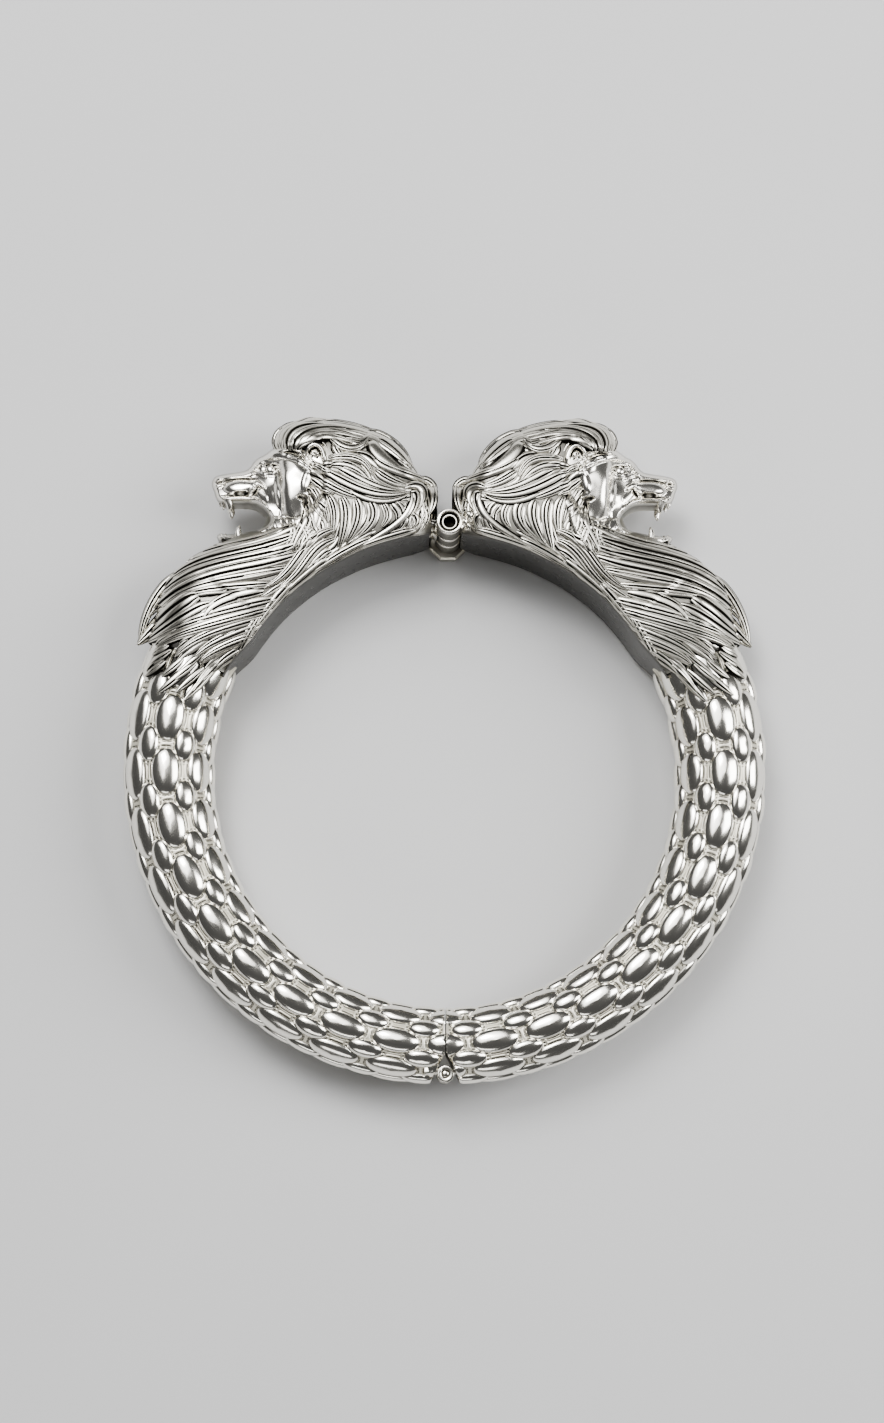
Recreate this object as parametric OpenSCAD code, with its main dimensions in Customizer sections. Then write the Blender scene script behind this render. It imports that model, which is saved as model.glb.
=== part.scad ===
// Kada bangle of two hinged halves with lion heads back to back at a screw clasp.
// Lies on its side: +Z up, lion heads toward +Y, back hinge toward -Y.
// The origin is the middle of the wrist opening, on the plane it lies on.

/* [Ring] */
// Width of the wrist opening, side to side
wrist_width = 60.3; // [56:0.1:66]
// Height of the middle plane above the plane it lies on
middle_height = 7.15; // [7.1:0.05:8]
// Tube radius over the scales beside the back hinge
tube_back = 5.1; // [4.5:0.05:5.6]
// Tube radius over the scales beside the lion heads
tube_front = 6.3; // [5.8:0.05:6.8]
// Gap between the two halves at the back hinge
split_gap = 0.2; // [0.1:0.05:0.4]

/* [Scales] */
// Columns of scales round the tube, large and small by turns
scale_columns = 14; // [10:2:18]
// Angle along the ring from one large scale to the next
scale_pitch = 11.15; // [9:0.05:13]
// Angle from the hinge to the middle of the first large scale
first_scale = 10.1; // [8:0.1:11]
// Height of a scale's dome over the web between the scales
dome_height = 0.8; // [0.4:0.05:1.2]
// Length of a large scale as a share of the pitch
large_length = 0.84; // [0.6:0.01:0.95]
// Length of a small scale as a share of the pitch
small_length = 0.59; // [0.4:0.01:0.7]
// Width of a large scale as a share of two columns
large_width = 0.69; // [0.5:0.01:0.8]
// Width of a small scale as a share of two columns
small_width = 0.5; // [0.3:0.01:0.6]

/* [Lion heads] */
// Half thickness of the mane without its locks, as a share of the table
mane_share = 1; // [0.9:0.01:1.02]
// Height of a lock's crest above the mane
lock_height = 0.42; // [0.2:0.02:0.5]
// Depth to which a lock's foot runs into the mane
lock_foot = 0.3; // [0.1:0.05:0.4]
// Length of the upper fangs
fang_length = 2; // [1.6:0.1:2.2]
// Length of the lower fangs
lower_fang = 1.3; // [1:0.1:1.5]

/* [Clasp] */
// Distance of the clasp axis from the middle of the opening
clasp_y = 33.2; // [32.6:0.1:34]
// Outer diameter of the clasp knuckles
knuckle_diameter = 3.6; // [3.4:0.1:4]
// Diameter of the clasp screw
screw_diameter = 2.1; // [1.8:0.05:2.3]
// Radial running fit of the clasp screw
screw_fit = 0.05; // [0.03:0.01:0.08]
// Diameter of the countersunk mouth over the end of the screw
mouth_diameter = 2.8; // [2.5:0.05:3]
// Depth of the countersunk mouth
mouth_depth = 1.4; // [0.8:0.1:2]
// Depth of the screw's end below the top of the knuckle
screw_drop = 0.4; // [0.2:0.05:0.8]
// Depth of the hollow in the end of the screw
screw_hollow = 3; // [1:0.1:5]
// Diameter of the hollow in the end of the screw
hollow_diameter = 1.5; // [1:0.05:1.7]
// Height of the top of the upper clasp knuckle above the middle plane
clasp_top = 6.1; // [5:0.1:6.6]
// Depth of the underside of the lower clasp knuckle below the middle plane
clasp_bottom = 5.3; // [4:0.1:5.6]
// Gap between clasp knuckles
knuckle_gap = 0.1; // [0.05:0.05:0.2]
// Width of the octagonal thumb head across its flats
thumb_width = 5; // [4.4:0.1:5.4]
// Thickness of the thumb head
thumb_thickness = 1.6; // [1.2:0.1:2]

/* [Hinge] */
// Distance of the hinge axis from the middle of the opening
hinge_y = 40.3; // [40:0.1:40.6]
// Diameter of the hinge barrel
barrel_diameter = 1.9; // [1.7:0.1:2.2]
// Diameter of the hinge pin
hinge_pin_diameter = 0.9; // [0.7:0.05:1]
// Radial running fit of the hinge pin
hinge_fit = 0.04; // [0.03:0.01:0.08]
// Half length of the hinge barrel
barrel_half = 3.2; // [2.6:0.1:3.3]
// Half angle of the notch behind the hinge
notch_angle = 26; // [20:1:30]
// Distance of the notch's inner edge from the middle of the opening
notch_start = 37.4; // [37:0.1:38]

/* [Hidden] */
ring_radius = wrist_width / 2 + tube_front + 0.15;
// The head tables are drawn for a ring radius of 36.6
k = ring_radius / 36.6;
// Depth of a lock's root past the middle plane
lock_root = 0.1;
scale_row = scale_pitch / 4;
// Rows of points along the tube, four to a large scale, and points round it
rows = 41;
round_steps = 2 * scale_columns;

// Heights of the clasp's middle knuckle from the middle plane
tongue_low = -clasp_bottom / 3;
tongue_high = clasp_top / 3;
// Strap that solders a clasp knuckle to its head
strap_depth = 2.2;
strap_reach = 3.2;
// Leaf that solders a hinge knuckle into its tube
leaf_reach = 2.6;
barrel_gap = 0.06;
barrel_third = barrel_half / 3;

// Mane round the ring: angle from the clasp, inner radius, outer radius, half thickness
mane = [
    [3.6, 31.2, 37.3, 4.8],
    [5.4, 30.9, 39.9, 5.6],
    [8, 30.7, 43.8, 6.5],
    [14, 30.6, 47.3, 6.8],
    [21, 30.5, 50.5, 6.7],
    [25.5, 30.4, 50.8, 6.5],
    [27.6, 30.4, 49.2, 6.4],
    [32, 30.4, 42.8, 6.4],
    [37, 30.4, 40.5, 6.5],
    [45, 30.4, 42.6, 6.6],
    [54, 30.3, 44.5, 6.7],
    [62, 30.3, 44.1, 6.7],
    [67, 30.3, 43.0, 6.5]
];
// Section of the mane: share of the way from inner to outer radius, share of half thickness
mane_section = [
    [0, 0.84],
    [0.3, 0.98],
    [0.62, 0.95],
    [0.86, 0.7],
    [1, 0]
];

// Masses of the face: across, up, half length, half height, half thickness, turn
masses = [
    [18.6, 42.2, 4.6, 4.5, 6.5, 0],      // crown
    [20.2, 38.4, 2.9, 4.7, 7.0, 6],      // cheek
    [22.3, 41.0, 2.6, 1.9, 5.6, -20],    // brow
    [22.8, 37.0, 2.6, 3.0, 5.2, 20],     // side of the mouth
    [22.2, 33.4, 3.0, 2.2, 5.9, 30],     // jaw muscle
    [26.6, 38.9, 4.4, 1.3, 3.4, -7],     // nose bridge
    [27.2, 37.9, 3.1, 1.5, 4.6, -3],     // muzzle pad
    [29.9, 38.4, 1.0, 1.2, 2.4, 0],      // nose tip
    [26.4, 36.5, 3.9, 0.75, 4.7, -2],    // upper lip
    [26.6, 31.4, 3.7, 0.9, 4.1, -6],     // lower jaw
    [29.2, 31.1, 0.9, 0.75, 2.8, 0]      // chin
];

// Locks of the mane: root, two handles, tip and width
locks = [
    // crest and crown
    [22.0, 43.2, 22.2, 45.9, 20.0, 46.8, 15.4, 46.5, 2.8],
    [20.0, 43.4, 19.2, 45.6, 16.5, 46.0, 11.6, 44.4, 2.6],
    [13.0, 45.9, 9.6, 45.2, 6.4, 43.9, 4.8, 40.9, 2.4],
    [10.2, 43.8, 8.8, 42.0, 7.2, 40.6, 2.4, 38.5, 3.0],
    // curls behind the ear and the long crescent
    [14.7, 41.4, 12.5, 42.0, 10.3, 41.6, 9.7, 39.3, 2.2],
    [13.7, 40.0, 11.5, 39.0, 9.5, 37.4, 6.2, 37.6, 2.0],
    [16.4, 39.6, 13.0, 37.6, 9.0, 35.6, 4.6, 37.6, 2.2],
    // curl at the clasp end
    [5.2, 38.1, 2.6, 39.2, 1.6, 36.2, 4.6, 34.0, 2.2],
    // strands of the neck
    [9.4, 36.0, 8.9, 34.6, 9.5, 33.2, 11.2, 31.9, 2.8],
    [12.4, 36.3, 11.6, 34.6, 12.2, 32.4, 13.8, 30.2, 3.0],
    [15.2, 36.9, 14.2, 35.2, 14.4, 33.4, 15.0, 31.7, 2.4],
    [17.5, 38.2, 17.2, 36.4, 16.3, 34.9, 17.0, 32.2, 2.4],
    [18.6, 35.0, 17.6, 33.6, 19.7, 31.8, 20.4, 29.4, 2.0],
    [15.0, 31.4, 19.4, 30.2, 18.7, 26.6, 23.4, 24.2, 3.0],
    // beard
    [22.0, 31.6, 25.4, 29.6, 31.0, 30.2, 36.4, 26.0, 2.8],
    [21.4, 29.2, 26.5, 27.4, 34.4, 28.4, 39.0, 21.4, 2.8],
    [23.0, 26.4, 28.6, 25.3, 34.4, 26.0, 38.2, 21.0, 2.6],
    [24.2, 24.4, 28.4, 23.9, 31.4, 23.4, 32.8, 20.6, 2.4],
    [32.0, 23.0, 35.0, 21.9, 37.2, 19.6, 41.0, 16.6, 3.0],
    [22.8, 22.4, 27.0, 21.0, 33.0, 20.4, 38.6, 16.9, 2.8],
    [24.4, 20.2, 28.0, 18.8, 32.0, 18.4, 35.6, 15.2, 2.6],
    [25.6, 17.8, 28.0, 16.8, 30.4, 15.8, 32.6, 13.8, 2.4]
];

// Edge of the open mouth, through from side to side
mouth = [
    [31.5, 36.0],
    [28.6, 35.4],
    [25.4, 35.4],
    [24.0, 34.9],
    [23.3, 34.0],
    [23.6, 33.2],
    [25.0, 32.5],
    [27.0, 32.1],
    [31.5, 31.8]
];

// Teeth: across, foot, tip, distance from the middle plane, foot radius
teeth = [
    [29.0, 36.6, -1, 2.4, 0.45],
    [28.2, 36.4, -1, 2.9, 0.45],
    [27.4, 31.4, 1, 2.8, 0.55],
    [28.8, 31.1, 1, 1.4, 0.4]
];

// Smooth step between 0 and 1
function ease(x) = let (c = max(0, min(1, x))) c * c * (3 - 2 * c);
// Tube radius over the scales at an angle from the hinge
function tube_radius(t) = tube_back + (tube_front - tube_back) * ease(t / 110);
// Distance in whole periods from the nearest repeat
function off(x) = abs(x - round(x));
// Height of one dome from its shares of length and width
function dome(a, b) = sqrt(max(0, 1 - a * a - b * b));
// Height of the scales at an angle from the hinge and a turn round the tube
function scale_height(t, p) = let (
        along = (t - first_scale) / scale_pitch,
        around = (p - 90) * scale_columns / 720
    ) max(
        dome(off(along) / (large_length / 2), off(around) / (large_width / 2)),
        dome(off(along + 0.5) / (small_length / 2), off(around + 0.5) / (small_width / 2))
    );
// Point of the scaled tube
function tube_point(t, p) = let (
        r = tube_radius(t) - dome_height * (1 - scale_height(t, p)),
        out = ring_radius + r * cos(p)
    ) [out * sin(t), -out * cos(t), r * sin(p)];
// Angle of a row of the tube
function row_angle(i) = i == 0
    ? asin(split_gap / 2 / ring_radius)
    : first_scale + scale_row * (i - 4);

// Half thickness of the mane at a point, 0 outside it
function mane_z(u, v) = let (
        a = atan2(u, v),
        r = norm([u, v]),
        inner = lookup(a, [for (m = mane) [m[0], m[1]]]),
        outer = lookup(a, [for (m = mane) [m[0], m[2]]]),
        half = lookup(a, [for (m = mane) [m[0], m[3]]]),
        share = (r - inner) / (outer - inner)
    ) share > 1 ? 0 : half * lookup(share, mane_section);
// Half thickness of one mass of the face at a point, 0 outside it
function mass_z(m, u, v) = let (
        x = (u - m[0]) * cos(m[5]) + (v - m[1]) * sin(m[5]),
        y = (v - m[1]) * cos(m[5]) - (u - m[0]) * sin(m[5])
    ) m[4] * sqrt(max(0, 1 - pow(x / m[2], 2) - pow(y / m[3], 2)));
// Half thickness of the whole head at a point
function head_z(u, v) = max(mane_z(u, v), max([for (m = masses) mass_z(m, u, v)]));
// Point of a lock's middle line
function bezier(l, t) = let (s = 1 - t)
    s * s * s * [l[0], l[1]] + 3 * s * s * t * [l[2], l[3]]
    + 3 * s * t * t * [l[4], l[5]] + t * t * t * [l[6], l[7]];
// Half width of a lock along its length, narrow at the root and pointed at the tip
function lock_half(l, t) = l[8] / 2 * (0.55 + 0.45 * sin(min(90, t * 220))) * sqrt(max(0.02, 1 - pow(t, 3)));

// Solid from rings of points with equal counts, its quads split in diamonds
module loft(rings) {
    n = len(rings[0]);
    m = len(rings);
    polyhedron(
        points = [for (ring = rings) each ring],
        faces = concat(
            [[for (j = [0:n - 1]) n - 1 - j]],
            [for (i = [0:m - 2]) for (j = [0:n - 1])
                let (
                    a = i * n + j,
                    b = i * n + (j + 1) % n,
                    c = (i + 1) * n + (j + 1) % n,
                    d = (i + 1) * n + j
                ) each (i + j) % 2 == 0 ? [[a, b, d], [b, c, d]] : [[a, b, c], [a, c, d]]],
            [[for (j = [0:n - 1]) (m - 1) * n + j]]
        )
    );
}

// Tube with its domed scales, one half of the ring
module scaled_tube() {
    loft([for (i = [0:rows])
        [for (j = [0:round_steps - 1]) tube_point(row_angle(i), 90 + j * 360 / round_steps)]]);
}

// Body of the mane swept round the ring, with the smooth inner wall
module mane_body() {
    upper = [for (s = mane_section) s];
    lower = [for (i = [len(mane_section) - 2:-1:0]) [mane_section[i][0], -mane_section[i][1]]];
    loft([for (m = mane)
        [for (s = concat(upper, lower))
            let (r = k * (m[1] + s[0] * (m[2] - m[1])))
            [r * sin(m[0]), r * cos(m[0]), m[3] * s[1] * mane_share]]]);
}

// One raised lock of hair on the upper side of the head, solid down past the middle plane
module lock(l) {
    steps = 2 + round(norm([l[6] - l[0], l[7] - l[1]]) / 7.5);
    loft([for (i = [0:steps])
        let (
            t = i / steps,
            c = bezier(l, t),
            d = bezier(l, min(1, t + 0.01)) - bezier(l, max(0, t - 0.01)),
            n = [-d[1], d[0]] / norm(d) * lock_half(l, t),
            left = c - n,
            right = c + n
        ) [
            [k * left[0], k * left[1], max(0, head_z(left[0], left[1]) - lock_foot)],
            [k * c[0], k * c[1], head_z(c[0], c[1]) + lock_height],
            [k * right[0], k * right[1], max(0, head_z(right[0], right[1]) - lock_foot)],
            [k * right[0], k * right[1], -lock_root],
            [k * left[0], k * left[1], -lock_root]
        ]]);
}

// Ear with its raised rim and hollow
module ear() {
    difference() {
        translate([k * 17.4, k * 42.5, 5.6])
            scale([1.75, 1.85, 1.75])
                sphere(r = 1, $fn = 10);
        translate([k * 17.25, k * 42.4, 7.6])
            scale([1.1, 1.25, 0.95])
                sphere(r = 1, $fn = 8);
    }
    translate([k * 17.2, k * 42.3, 6.4])
        sphere(r = 0.55, $fn = 6);
}

// Eye ball and brow ridge
module eye() {
    translate([k * 23.5, k * 40.5, 3.7])
        sphere(r = 0.75, $fn = 8);
    lock([24.4, 41.2, 23.2, 42.3, 20.6, 42.5, 17.9, 40.4, 1.3]);
}

// Tapered tooth standing up or down
module tooth(t) {
    length = t[2] > 0 ? lower_fang : fang_length;
    translate([k * t[0], k * t[1], t[3]])
        rotate([-90 * t[2], 0, 0])
            cylinder(r1 = t[4], r2 = 0.1, h = length, $fn = 6);
}

// Both sides of whatever is drawn on the upper side
module both_sides() {
    children();
    mirror([0, 0, 1])
        children();
}

// Face from its masses with the mouth cut through
module face() {
    difference() {
        union() {
            for (m = masses)
                translate([k * m[0], k * m[1], 0])
                    rotate([0, 0, m[5]])
                        scale([m[2], m[3], m[4]])
                            sphere(r = 1, $fn = m[3] > 3 ? 12 : 10);
            both_sides()
                eye();
        }
        translate([0, 0, -10])
            linear_extrude(20)
                polygon(k * mouth);
    }
    both_sides()
        for (t = teeth)
            tooth(t);
}

// Right half of the ring with its head, before the clasp and hinge are fitted
module cast_half() {
    difference() {
        resize([0, 0, 0])
            union() {
                scaled_tube();
                mane_body();
                face();
                both_sides() {
                    for (l = locks)
                        lock(l);
                    ear();
                }
            }
        // notch behind the hinge
        translate([0, -notch_start, -10])
            rotate([0, 0, notch_angle - 90])
                translate([0, -20, 0])
                    cube([20, 20, 20]);
    }
}

// Upright straight tube of the clasp or hinge, its bore cut where it is placed
module knuckle(diameter, low, high) {
    translate([0, 0, low])
        cylinder(d = diameter, h = high - low, $fn = 48);
}

// Bore down a knuckle
module bore(diameter) {
    translate([0, 0, -20])
        cylinder(d = diameter, h = 40, $fn = 48);
}

// Knuckle of the clasp with the strap that solders it to the rear of a head
module clasp_knuckle(low, high) {
    translate([0, clasp_y, 0])
        difference() {
            union() {
                knuckle(knuckle_diameter, low, high);
                translate([0, -strap_depth / 2, low])
                    cube([strap_reach, strap_depth, high - low]);
            }
            bore(screw_diameter + 2 * screw_fit);
            translate([0, 0, clasp_top - mouth_depth])
                cylinder(d = mouth_diameter, h = 10, $fn = 48);
        }
}

// Knuckle of the hinge with the leaf that solders it into the tube's end
module hinge_knuckle(low, high) {
    translate([0, -hinge_y, 0])
        difference() {
            union() {
                knuckle(barrel_diameter, low, high);
                translate([0, 0, low])
                    cube([leaf_reach, barrel_diameter / 2, high - low]);
            }
            bore(hinge_pin_diameter + 2 * hinge_fit);
        }
}

// Left half: the mirrored casting with the clasp's tongue and the hinge's outer knuckles
module left_half() {
    color("silver")
        translate([0, 0, middle_height])
            mirror([1, 0, 0]) {
                cast_half();
                clasp_knuckle(tongue_low + knuckle_gap, tongue_high - knuckle_gap);
                hinge_knuckle(barrel_third + barrel_gap, barrel_half);
                hinge_knuckle(-barrel_half, -barrel_third - barrel_gap);
            }
}

// Right half: the casting with the clasp's ears and the hinge's middle knuckle
module right_half() {
    color("gainsboro")
        translate([0, 0, middle_height]) {
            cast_half();
            clasp_knuckle(tongue_high, clasp_top);
            clasp_knuckle(-clasp_bottom, tongue_low);
            hinge_knuckle(-barrel_third, barrel_third);
        }
}

// Clasp screw with its hollow end and octagonal thumb head
module clasp_screw() {
    head_top = -clasp_bottom - knuckle_gap;
    screw_end = clasp_top - screw_drop;
    color("lightgray")
        translate([0, clasp_y, middle_height]) {
            difference() {
                translate([0, 0, head_top - thumb_thickness / 2])
                    cylinder(d = screw_diameter, h = screw_end - head_top + thumb_thickness / 2, $fn = 48);
                translate([0, 0, screw_end - screw_hollow])
                    cylinder(d = hollow_diameter, h = 10, $fn = 48);
            }
            translate([0, 0, head_top - thumb_thickness])
                cylinder(d = thumb_width / cos(22.5), h = thumb_thickness, $fn = 8);
        }
}

// Plain pin through the hinge barrel
module hinge_pin() {
    color("gray")
        translate([0, -hinge_y, middle_height - barrel_half])
            cylinder(d = hinge_pin_diameter, h = 2 * barrel_half, $fn = 48);
}

left_half();
right_half();
clasp_screw();
hinge_pin();
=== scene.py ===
# %% [markdown]
# # A silver kada bangle with two lion heads
#
# This lesson dresses the plain CAD model of a hinged bangle. Two halves of a scaled tube end in
# lion heads that stand back to back at a screw clasp, and a small hinge joins them at the back.
# Every length below is in millimetres, and becomes Blender's metres where an object is made. The
# right half is drawn, and the left half is its mirror.

# %% Load the frame
import math
import bpy
import numpy as np
from mathutils import Matrix, Vector


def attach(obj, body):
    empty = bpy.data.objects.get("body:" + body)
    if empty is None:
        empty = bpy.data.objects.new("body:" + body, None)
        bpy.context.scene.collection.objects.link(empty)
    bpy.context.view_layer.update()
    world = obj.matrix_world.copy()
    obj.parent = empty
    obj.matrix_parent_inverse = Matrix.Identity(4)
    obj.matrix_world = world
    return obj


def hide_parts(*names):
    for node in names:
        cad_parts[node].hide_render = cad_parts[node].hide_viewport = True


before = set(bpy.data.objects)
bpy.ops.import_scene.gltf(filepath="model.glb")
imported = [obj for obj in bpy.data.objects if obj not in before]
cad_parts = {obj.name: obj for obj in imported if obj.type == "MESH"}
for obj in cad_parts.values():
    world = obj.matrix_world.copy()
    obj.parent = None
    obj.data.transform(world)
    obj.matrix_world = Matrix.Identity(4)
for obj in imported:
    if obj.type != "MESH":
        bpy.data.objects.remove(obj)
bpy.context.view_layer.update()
MM = 0.001
MIDDLE = 7.15       # height of the middle plane over the floor
RING = 36.6         # radius of the line that the tube is bent round
print("CAD nodes:", sorted(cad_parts))

# %% [markdown]
# ## Camera
#
# The picture is taken from almost straight above, leaning a few degrees toward the back hinge, so
# that the inner walls under the heads show. The lens could be found by trial, but it follows from
# the scale of the picture: 7.5 pixels to a millimetre at a distance of 350 mm. The directions to
# the right of the picture and up in it are kept, because the tables below are read off it.

# %% Camera
PIXELS_PER_MM = 7.5
PICTURE_HEIGHT = 1423
SENSOR = 24
DISTANCE = 350.0
NEAREST = 0.01
ELEVATION = math.radians(80)
AZIMUTH = math.radians(-6)
AIM = np.array([-0.4, 7.7, MIDDLE])
direction = np.array([
    math.sin(AZIMUTH) * math.cos(ELEVATION),
    -math.cos(AZIMUTH) * math.cos(ELEVATION),
    math.sin(ELEVATION),
])
eye_point = AIM + direction * DISTANCE
picture_up = Vector((0, 1, 0)) - Vector(direction) * direction[1]
picture_up.normalize()
picture_right = picture_up.cross(Vector(direction))
axes = Matrix((picture_right, picture_up, Vector(direction))).transposed()
camera_data = bpy.data.cameras.new("camera")
camera_data.sensor_fit = "VERTICAL"
camera_data.sensor_height = SENSOR
camera_data.lens = SENSOR * DISTANCE / (PICTURE_HEIGHT / PIXELS_PER_MM)
camera_data.clip_start = NEAREST
camera = bpy.data.objects.new("camera", camera_data)
camera.location = eye_point * MM
camera.rotation_euler = axes.to_euler()
bpy.context.scene.collection.objects.link(camera)
bpy.context.scene.camera = camera
print("lens", round(camera_data.lens, 1))

# %% [markdown]
# ## Light
#
# Polished silver shows what stands round it, and small lamps would leave only hot spots, so the
# light is shaped with soft boxes. A large dim one and a small bright one in front of it stand high
# on the upper left, so that every highlight fades outward. A weaker one stands on the right, and a
# low one beyond the hinge. A dim grey surround leaves the steep sides dark, which is what draws
# every scale and lock of hair.

# %% Soft boxes and surround
SOFT_BOXES = [
    # name, place, width and height, power
    ("key_box", (-165, 290, 560), (500, 620), 2.6),
    ("bright_box", (-150, 262, 505), (180, 230), 1.5),
    ("side_box", (400, 60, 340), (240, 400), 2.2),
    ("low_box", (-120, -520, 240), (420, 130), 0.4),
]
SURROUND_COLOR, SURROUND_STRENGTH = (0.85, 0.85, 0.86, 1), 0.095


def soft_box(name, place, size, power):
    lamp = bpy.data.lights.new(name, "AREA")
    lamp.shape = "RECTANGLE"
    lamp.size = size[0] * MM
    lamp.size_y = size[1] * MM
    lamp.energy = power
    box = bpy.data.objects.new(name, lamp)
    bpy.context.scene.collection.objects.link(box)
    box.location = [c * MM for c in place]
    away = np.array(place, float) - np.array([0, 0, MIDDLE])
    away /= np.linalg.norm(away)
    box.rotation_euler = (math.acos(away[2]), 0, math.atan2(away[0], -away[1]))


for row in SOFT_BOXES:
    soft_box(*row)
surround = bpy.data.worlds.new("surround")
bpy.context.scene.world = surround
surround.use_nodes = True
background = surround.node_tree.nodes["Background"]
background.inputs["Color"].default_value = SURROUND_COLOR
background.inputs["Strength"].default_value = SURROUND_STRENGTH
bpy.context.scene.view_settings.look = "AgX - Medium High Contrast"
print("soft boxes", len(SOFT_BOXES))

# %% [markdown]
# ## Shader groups
#
# Cast silver is bright where it is polished and dark with oxide where polish never reaches, and
# the grooves, feet, undersides and shaded sides are painted dark as shade on top of that. A
# painted picture could carry that tone, but here every mesh stores it as a number on its points,
# from 0 on a crest to 1 in a groove or shaded place. One group turns it into colour and roughness,
# and another makes the hairlines and faint waves that a buffing wheel leaves.

# %% Node helpers
def new_group(name, inputs, outputs):
    group = bpy.data.node_groups.new(name, "ShaderNodeTree")
    for label, kind, value in inputs:
        socket = group.interface.new_socket(name=label, in_out="INPUT", socket_type=kind)
        socket.default_value = value
    for label, kind in outputs:
        group.interface.new_socket(name=label, in_out="OUTPUT", socket_type=kind)
    start = group.nodes.new("NodeGroupInput")
    end = group.nodes.new("NodeGroupOutput")
    return group, start, end


def wired(tree, source, socket):
    if isinstance(source, bpy.types.NodeSocket):
        tree.links.new(source, socket)
    else:
        socket.default_value = source


def joined(tree, kind, sources, **settings):
    node = tree.nodes.new(kind)
    for key, value in settings.items():
        setattr(node, key, value)
    for label, source in sources.items():
        wired(tree, source, node.inputs[label])
    return node


def multiply_add(tree, value, factor, extra):
    node = tree.nodes.new("ShaderNodeMath")
    node.operation = "MULTIPLY_ADD"
    for socket, source in zip(node.inputs, (value, factor, extra)):
        wired(tree, source, socket)
    return node.outputs[0]


def object_place(tree):
    return tree.nodes.new("ShaderNodeTexCoord").outputs["Object"]


print("node helpers ready")

# %% Tone group
# The dark tone is oxide patina in the hollows together with painted shade in grooves, under parts
# and on shaded sides.
DARK_FROM, DARK_TO = 0.15, 0.8      # recess where the dark tone sets in, and where it is full


def tone_group():
    group, start, end = new_group(
        "patina and painted shade tone",
        [("Patina and Shade", "NodeSocketFloat", 0.0), ("Bright", "NodeSocketColor", (0.9, 0.9, 0.85, 1)),
         ("Dark", "NodeSocketColor", (0.1, 0.1, 0.08, 1)),
         ("Cloud Scale", "NodeSocketFloat", 300.0), ("Cloud Amount", "NodeSocketFloat", 0.2),
         ("Smooth", "NodeSocketFloat", 0.12), ("Rough", "NodeSocketFloat", 0.45)],
        [("Color", "NodeSocketColor"), ("Roughness", "NodeSocketFloat")],
    )
    given = start.outputs
    cloud = joined(group, "ShaderNodeTexNoise", {
        "Vector": object_place(group), "Scale": given["Cloud Scale"], "Detail": 4.0,
        "Roughness": 0.6})
    lifted = multiply_add(group, cloud.outputs["Fac"], given["Cloud Amount"], given["Patina and Shade"])
    clouded = multiply_add(group, given["Cloud Amount"], -0.5, lifted)
    mask = joined(group, "ShaderNodeMapRange", {
        "Value": clouded, "From Min": DARK_FROM, "From Max": DARK_TO,
    }, interpolation_type="SMOOTHSTEP")
    blend = joined(group, "ShaderNodeMix", {"Factor": mask.outputs[0]}, data_type="RGBA")
    # a Mix node keeps its two colours in sockets 6 and 7, and the mixed one in output 2
    wired(group, given["Bright"], blend.inputs[6])
    wired(group, given["Dark"], blend.inputs[7])
    rough = joined(group, "ShaderNodeMapRange", {
        "Value": clouded, "To Min": given["Smooth"], "To Max": given["Rough"]})
    wired(group, blend.outputs[2], end.inputs["Color"])
    wired(group, rough.outputs[0], end.inputs["Roughness"])
    return group


TONE = tone_group()
print("group", TONE.name)

# %% Polish group
def polish_group():
    group, start, end = new_group(
        "polish marks",
        [("Hairline Scale", "NodeSocketFloat", 900.0), ("Wave Scale", "NodeSocketFloat", 120.0),
         ("Hairlines", "NodeSocketFloat", 0.4)],
        [("Height", "NodeSocketFloat"), ("Streaks", "NodeSocketFloat")],
    )
    given, place = start.outputs, object_place(group)
    stretch = joined(group, "ShaderNodeMapping", {
        "Vector": place, "Scale": (1.0, 0.12, 1.0), "Rotation": (0.3, 0.2, 0.6)})
    lines = joined(group, "ShaderNodeTexNoise", {
        "Vector": stretch.outputs[0], "Scale": given["Hairline Scale"], "Detail": 3.0,
        "Roughness": 0.7})
    waves = joined(group, "ShaderNodeTexNoise", {
        "Vector": place, "Scale": given["Wave Scale"], "Detail": 2.0})
    height = multiply_add(group, lines.outputs["Fac"], given["Hairlines"], waves.outputs["Fac"])
    wired(group, height, end.inputs["Height"])
    wired(group, lines.outputs["Fac"], end.inputs["Streaks"])
    return group


POLISH = polish_group()
print("group", POLISH.name)

# %% [markdown]
# ## Silver finishes
#
# The same metal is finished in six ways: mirror polish on the scales, duller cream metal between
# them, cast hair with grooves painted black as shade and patina, polished faces, a satin inner
# wall whose colour is painted nearly black as the shade it lies in, and turned metal on the clasp
# and hinge. Each could have nodes of its own, but shared groups keep them one metal, and the
# finishes differ only in the values given to them.

# %% Silver materials
CLOUD_SCALE, CLOUD_AMOUNT = 260.0, 0.25
STREAK_ROUGHNESS, MARK_DEPTH = 0.08, 0.00003


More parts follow.
